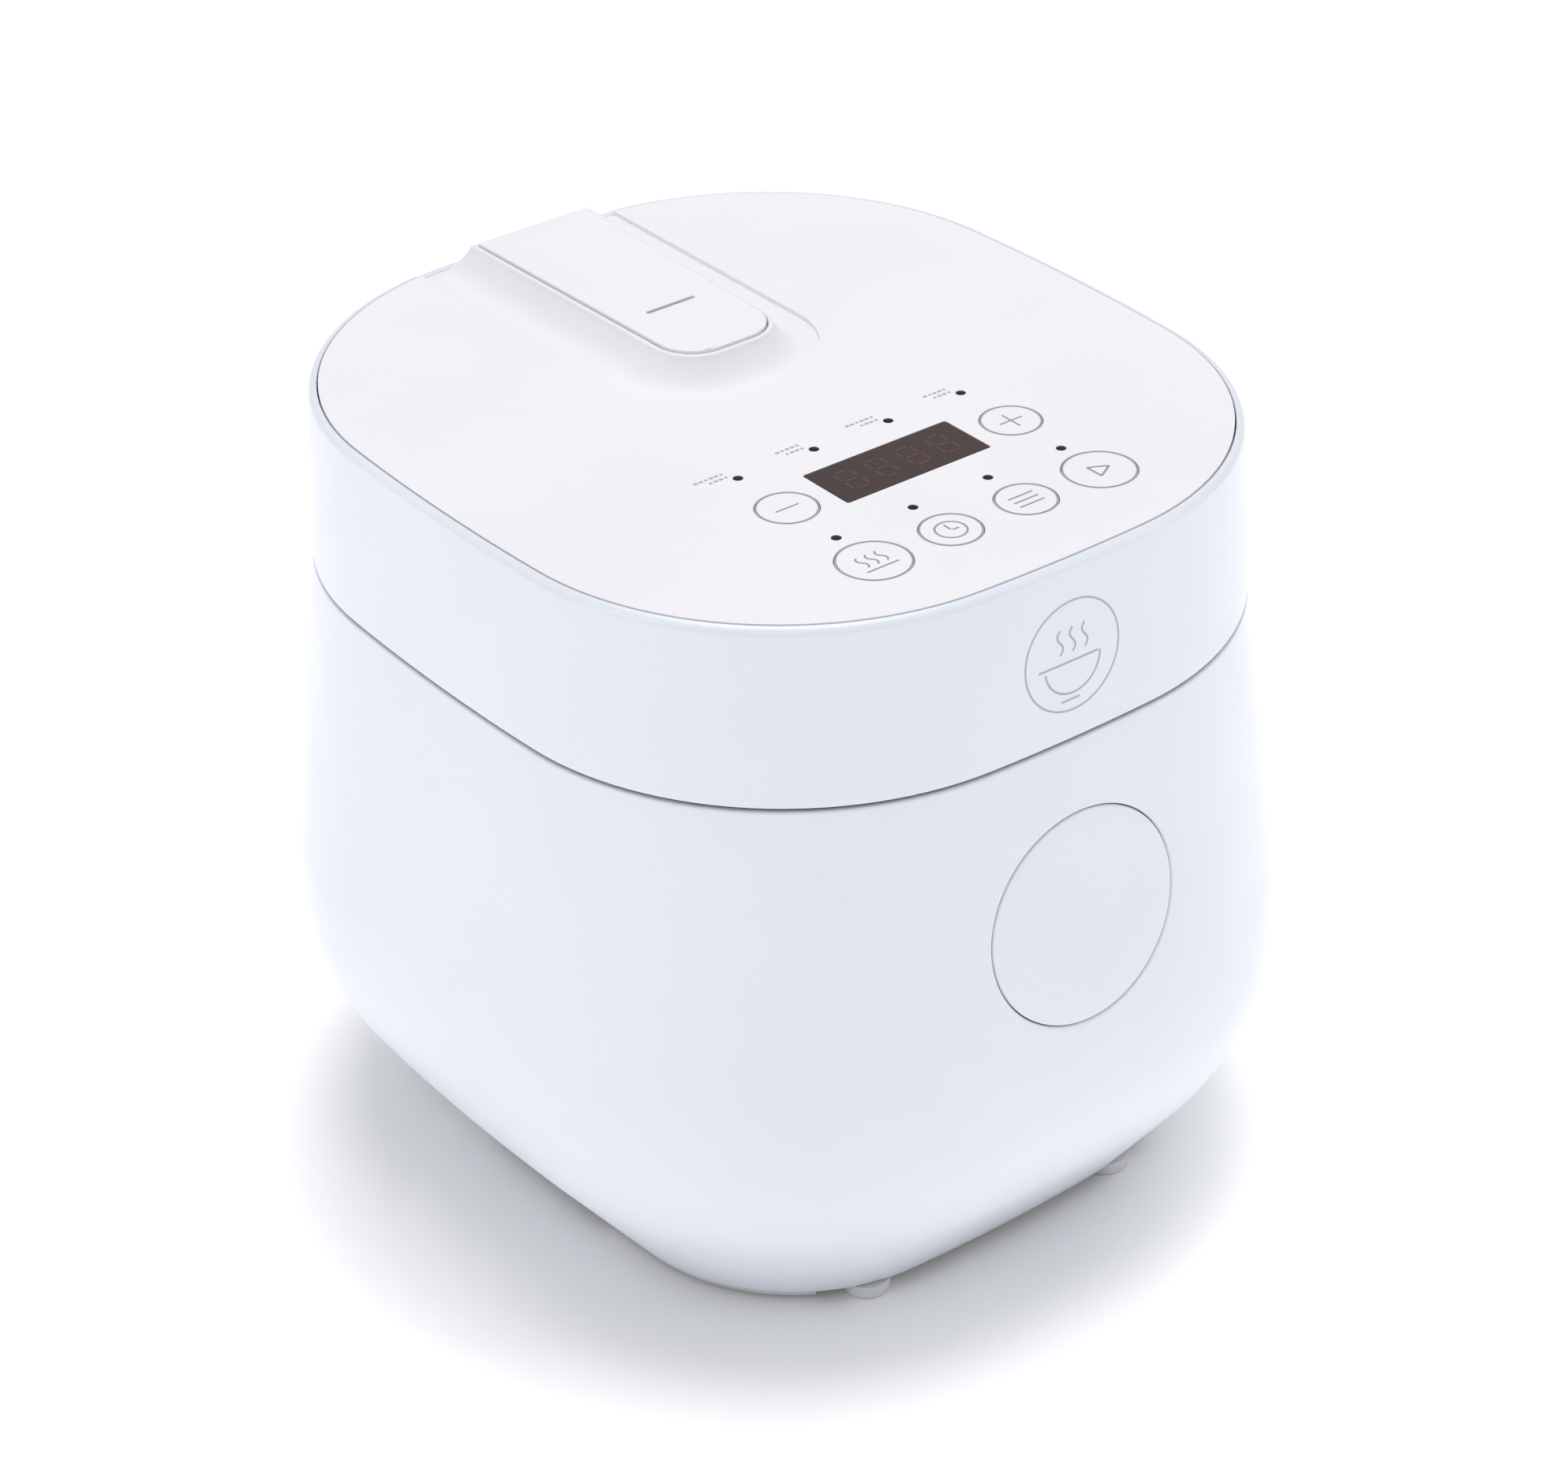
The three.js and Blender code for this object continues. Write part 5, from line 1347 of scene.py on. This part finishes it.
VENT_COUNT = 5
VENT_PITCH = 11
VENT_SIZE = (44, 4)
VENT_CORNER = 1.9
SCREW_RADIUS = 1.6
SCREW_HOLE = 1.9
SCREW_HEAD = 3.5
SCREW_HEAD_HEIGHT = 1.8
CROSS_LENGTH = 2
CROSS_WIDTH = 0.35
CROSS_DEPTH = 0.9
SOLE_CUP = 0.5
SOCKET_HALF_X = 12.3
SOCKET_HALF_Z = 8.3
SOCKET_CHAMFER = 4
SOCKET_DEPTH = 16


def base_shape():
    """The base plate with its vents, and the skirts that close the body's lower edge at the corners."""
    high = box("base_cover")[1]
    plate_low = SHELL_BOTTOM_Z + SEAM_GAP
    wall = (SHELL_WALL + SEAM_GAP) / math.cos(FLANK_ANGLE)
    inset, tuck = body_inset(plate_low), body_tuck(plate_low)
    vent_y = [(number - (VENT_COUNT - 1) / 2) * VENT_PITCH for number in range(VENT_COUNT)]
    vents = [rectangle(*VENT_SIZE, (0, y), VENT_CORNER) for y in vent_y]
    screws = [circle(SCREW_HOLE, middle_of(node), 24) for node in SCREWS]
    cover = plate(outline_loop(inset + wall, tuck), [*vents, *screws], plate_low, high.z)
    return joined(cover, *(skirt_shape(number, inset, wall, tuck) for number in range(4)))


SKIRT_GAP_X = 56
SKIRT_GAP_Y = 22


def skirt_shape(quarter, inset, wall, tuck):
    """One corner's skirt, between the gaps at the front or rear and at the side."""
    low = box("base_cover")[0]
    top_z = SHELL_BOTTOM_Z - SEAM_GAP
    profile = rounded(
        [
            (body_inset(top_z), top_z, 0),
            (body_inset(low.z), low.z, 0.5),
            (inset + wall + 2, low.z, 0.5),
            (inset + wall + 2, top_z + 1, 0),
            (inset + wall - 0.5, top_z + 1, 0),
        ],
        steps=4,
    )
    first = [turn for turn in outline_turns() if 0 <= turn <= math.pi / 2]
    kept = []
    for turn in first:
        point = outline_point(turn, body_inset(low.z), tuck)
        if point.x > SKIRT_GAP_X and point.y > SKIRT_GAP_Y:
            kept.append(turn)
    side_x, side_y = ((1, 1), (-1, 1), (-1, -1), (1, -1))[quarter]
    rings = []
    for turn in kept:
        ring = []
        for offset, z in profile:
            point = outline_point(turn, offset, tuck)
            ring.append((point.x * side_x, point.y * side_y, z))
        rings.append(ring)
    return capped(rings)


CORNERS = ("front_left", "front_right", "rear_left", "rear_right")
SCREWS = [f"screw_{corner}" for corner in CORNERS]


def screw_shape(node):
    """A pan-head screw."""
    low, high = box(node)
    head_z = low.z + SCREW_HEAD_HEIGHT
    profile = [(0, low.z, 0), (SCREW_HEAD, low.z, 1.2), (SCREW_HEAD, head_z, 0)]
    profile += [(SCREW_RADIUS, head_z, 0), (SCREW_RADIUS, high.z, 0.4), (0, high.z, 0)]
    return lathe(profile, middle_of(node), 40)


def screw_slots(node):
    """The cross in the screw's head."""
    x, y = middle_of(node)
    low = box(node)[0]
    halves = ((CROSS_LENGTH, CROSS_WIDTH), (CROSS_WIDTH, CROSS_LENGTH))
    depth = (low.z - 1, low.z + CROSS_DEPTH)
    return [block((x - half_x, x + half_x), (y - half_y, y + half_y), depth) for half_x, half_y in halves]


def foot_shape(node):
    """A rubber foot with a shallow cup in its sole."""
    low, high = box(node)
    radius, cup_z = (high.x - low.x) / 2, low.z + SOLE_CUP
    profile = [(0, cup_z, 0), (radius - 2.6, cup_z, 0.4), (radius - 2, low.z, 0.3)]
    profile += [(radius, low.z, 0.9), (radius, high.z, 0), (0, high.z, 0)]
    return lathe(profile, middle_of(node))


def inlet_shape():
    """The mains inlet's body with its socket, facing the rear."""
    low, high = INLET_LOW, INLET_HIGH
    middle = (low.z + high.z) / 2
    outer = rectangle(high.x - low.x, high.z - low.z, radius=1.4)
    chamfer_x, chamfer_z = SOCKET_HALF_X - SOCKET_CHAMFER, SOCKET_HALF_Z - SOCKET_CHAMFER
    socket = rounded(
        [
            (-SOCKET_HALF_X, -SOCKET_HALF_Z, 1.5),
            (SOCKET_HALF_X, -SOCKET_HALF_Z, 1.5),
            (SOCKET_HALF_X, chamfer_z, 0.8),
            (chamfer_x, SOCKET_HALF_Z, 0.8),
            (-chamfer_x, SOCKET_HALF_Z, 0.8),
            (-SOCKET_HALF_X, chamfer_z, 0.8),
        ]
    )
    floor_y = high.y - SOCKET_DEPTH
    shape = joined(plate(outer, [socket], floor_y, high.y), plate(outer, [], low.y, floor_y))
    face_rear = Matrix(((-1, 0, 0, 0), (0, 0, 1, 0), (0, 1, 0, middle), (0, 0, 0, 1)))
    return moved(shape, face_rear)


stand_for("base_cover", base_shape(), bevel=0.35)
for corner in CORNERS:
    stand_for(f"foot_{corner}", foot_shape(f"foot_{corner}"), bevel=0)
for screw in SCREWS:
    stand_for(screw, screw_shape(screw), bevel=0, cutters=screw_slots(screw))
stand_for("power_inlet", inlet_shape(), bevel=0.4)


# ---- CAD nodes that stay

SPRINGS = ("sensor_spring", "button_spring", "latch_spring", "hinge_spring_left", "hinge_spring_right")
ROUND_BARS = ("latch_pin",)


def finish_cad_nodes():
    """Gives every CAD node that still shows its material, rounded edges and smooth shading."""
    for name, node in frame["nodes"].items():
        node.data.materials.clear()
        node.data.materials.append(MATERIALS[SLOT_OF_NODE[name]])
        if node.hide_render:
            continue
        if name in SPRINGS:
            add_modifier(node, "SUBSURF", levels=2, render_levels=2)
            node.data.shade_smooth()
        elif name in ROUND_BARS:
            node.data.shade_smooth()
            soften(node, 0.25, angle=50)
        else:
            node.data.shade_smooth()
            soften(node, 0.3, segments=2, angle=30)


finish_cad_nodes()


# ---- floor and light


def painted_floor_glow(shading, centre, start, end, strength):
    """Painted light on the floor: a glow that is nothing up to one distance from a centre, in metres, and
    full from another, so the unlit floor round the centre is partly a painted shadow.
    """
    distance = shading.add("VectorMath")
    distance.operation = "DISTANCE"
    distance.inputs[1].default_value = centre
    shading.links.new(shading.place, distance.inputs[0])
    away = distance.outputs["Value"]
    rise = shading.add("MapRange", From_Min=start, From_Max=end, To_Max=strength, Value=away)
    rise.interpolation_type = "SMOOTHSTEP"
    shading.feed(shading.shader, Emission_Color=(1, 1, 1, 1), Emission_Strength=rise.outputs["Result"])


FLOOR_HALF = 6000


def make_floor():
    """A pale floor with painted light: it glows more and more away from a point near the object's middle, so
    it reads as white paper further out, and the darker floor close round the object is partly a painted
    shadow.
    """
    signs = ((-1, -1), (1, -1), (1, 1), (-1, 1))
    corners = [(x * FLOOR_HALF, y * FLOOR_HALF, 0) for x, y in signs]
    made = mesh_object("floor", (corners, [(0, 1, 2, 3)]))
    shading = Shading("floor_paper", (0.96, 0.96, 0.96), 0.85, Specular_IOR_Level=0.1)
    # Painted shadow: the glow's centre and its two radii set how far the unlit, darker floor reaches round
    # the object.
    painted_floor_glow(shading, (-0.02, -0.01, 0), 0.105, 0.17, 0.4)
    shading.bump(shading.noise(400), 0.00002)
    made.data.materials.append(shading.material)


def make_light(name, place, size, power):
    """A white soft box aimed at the middle of the object."""
    data = bpy.data.lights.new(name, "AREA")
    data.shape = "RECTANGLE"
    data.size, data.size_y = size
    data.energy = power
    made = bpy.data.objects.new(name, data)
    bpy.context.scene.collection.objects.link(made)
    target = Vector((0, 0, SEAM_Z / 2)) * MM
    made.location = place
    made.rotation_euler = (target - made.location).to_track_quat("-Z", "Y").to_euler()


def make_world():
    """An even surround, white with a trace of blue."""
    world = bpy.data.worlds.new("studio")
    bpy.context.scene.world = world
    world.use_nodes = True
    background = world.node_tree.nodes["Background"]
    background.inputs["Color"].default_value = (0.985, 0.985, 0.99, 1)
    background.inputs["Strength"].default_value = 0.555


make_floor()
make_world()
make_light("top_box", (0.1, 0.15, 1.7), (1.0, 1.0), 11.8)
make_light("left_box", (-1.6, 0.1, 0.8), (0.6, 1.2), 3.6)
make_light("corner_box", (-1.2, -1.2, 0.8), (0.5, 1.2), 0.6)
make_light("right_box", (1.2, -1.2, 0.8), (0.6, 1.2), 3.5)
bpy.context.scene.view_settings.view_transform = "Standard"
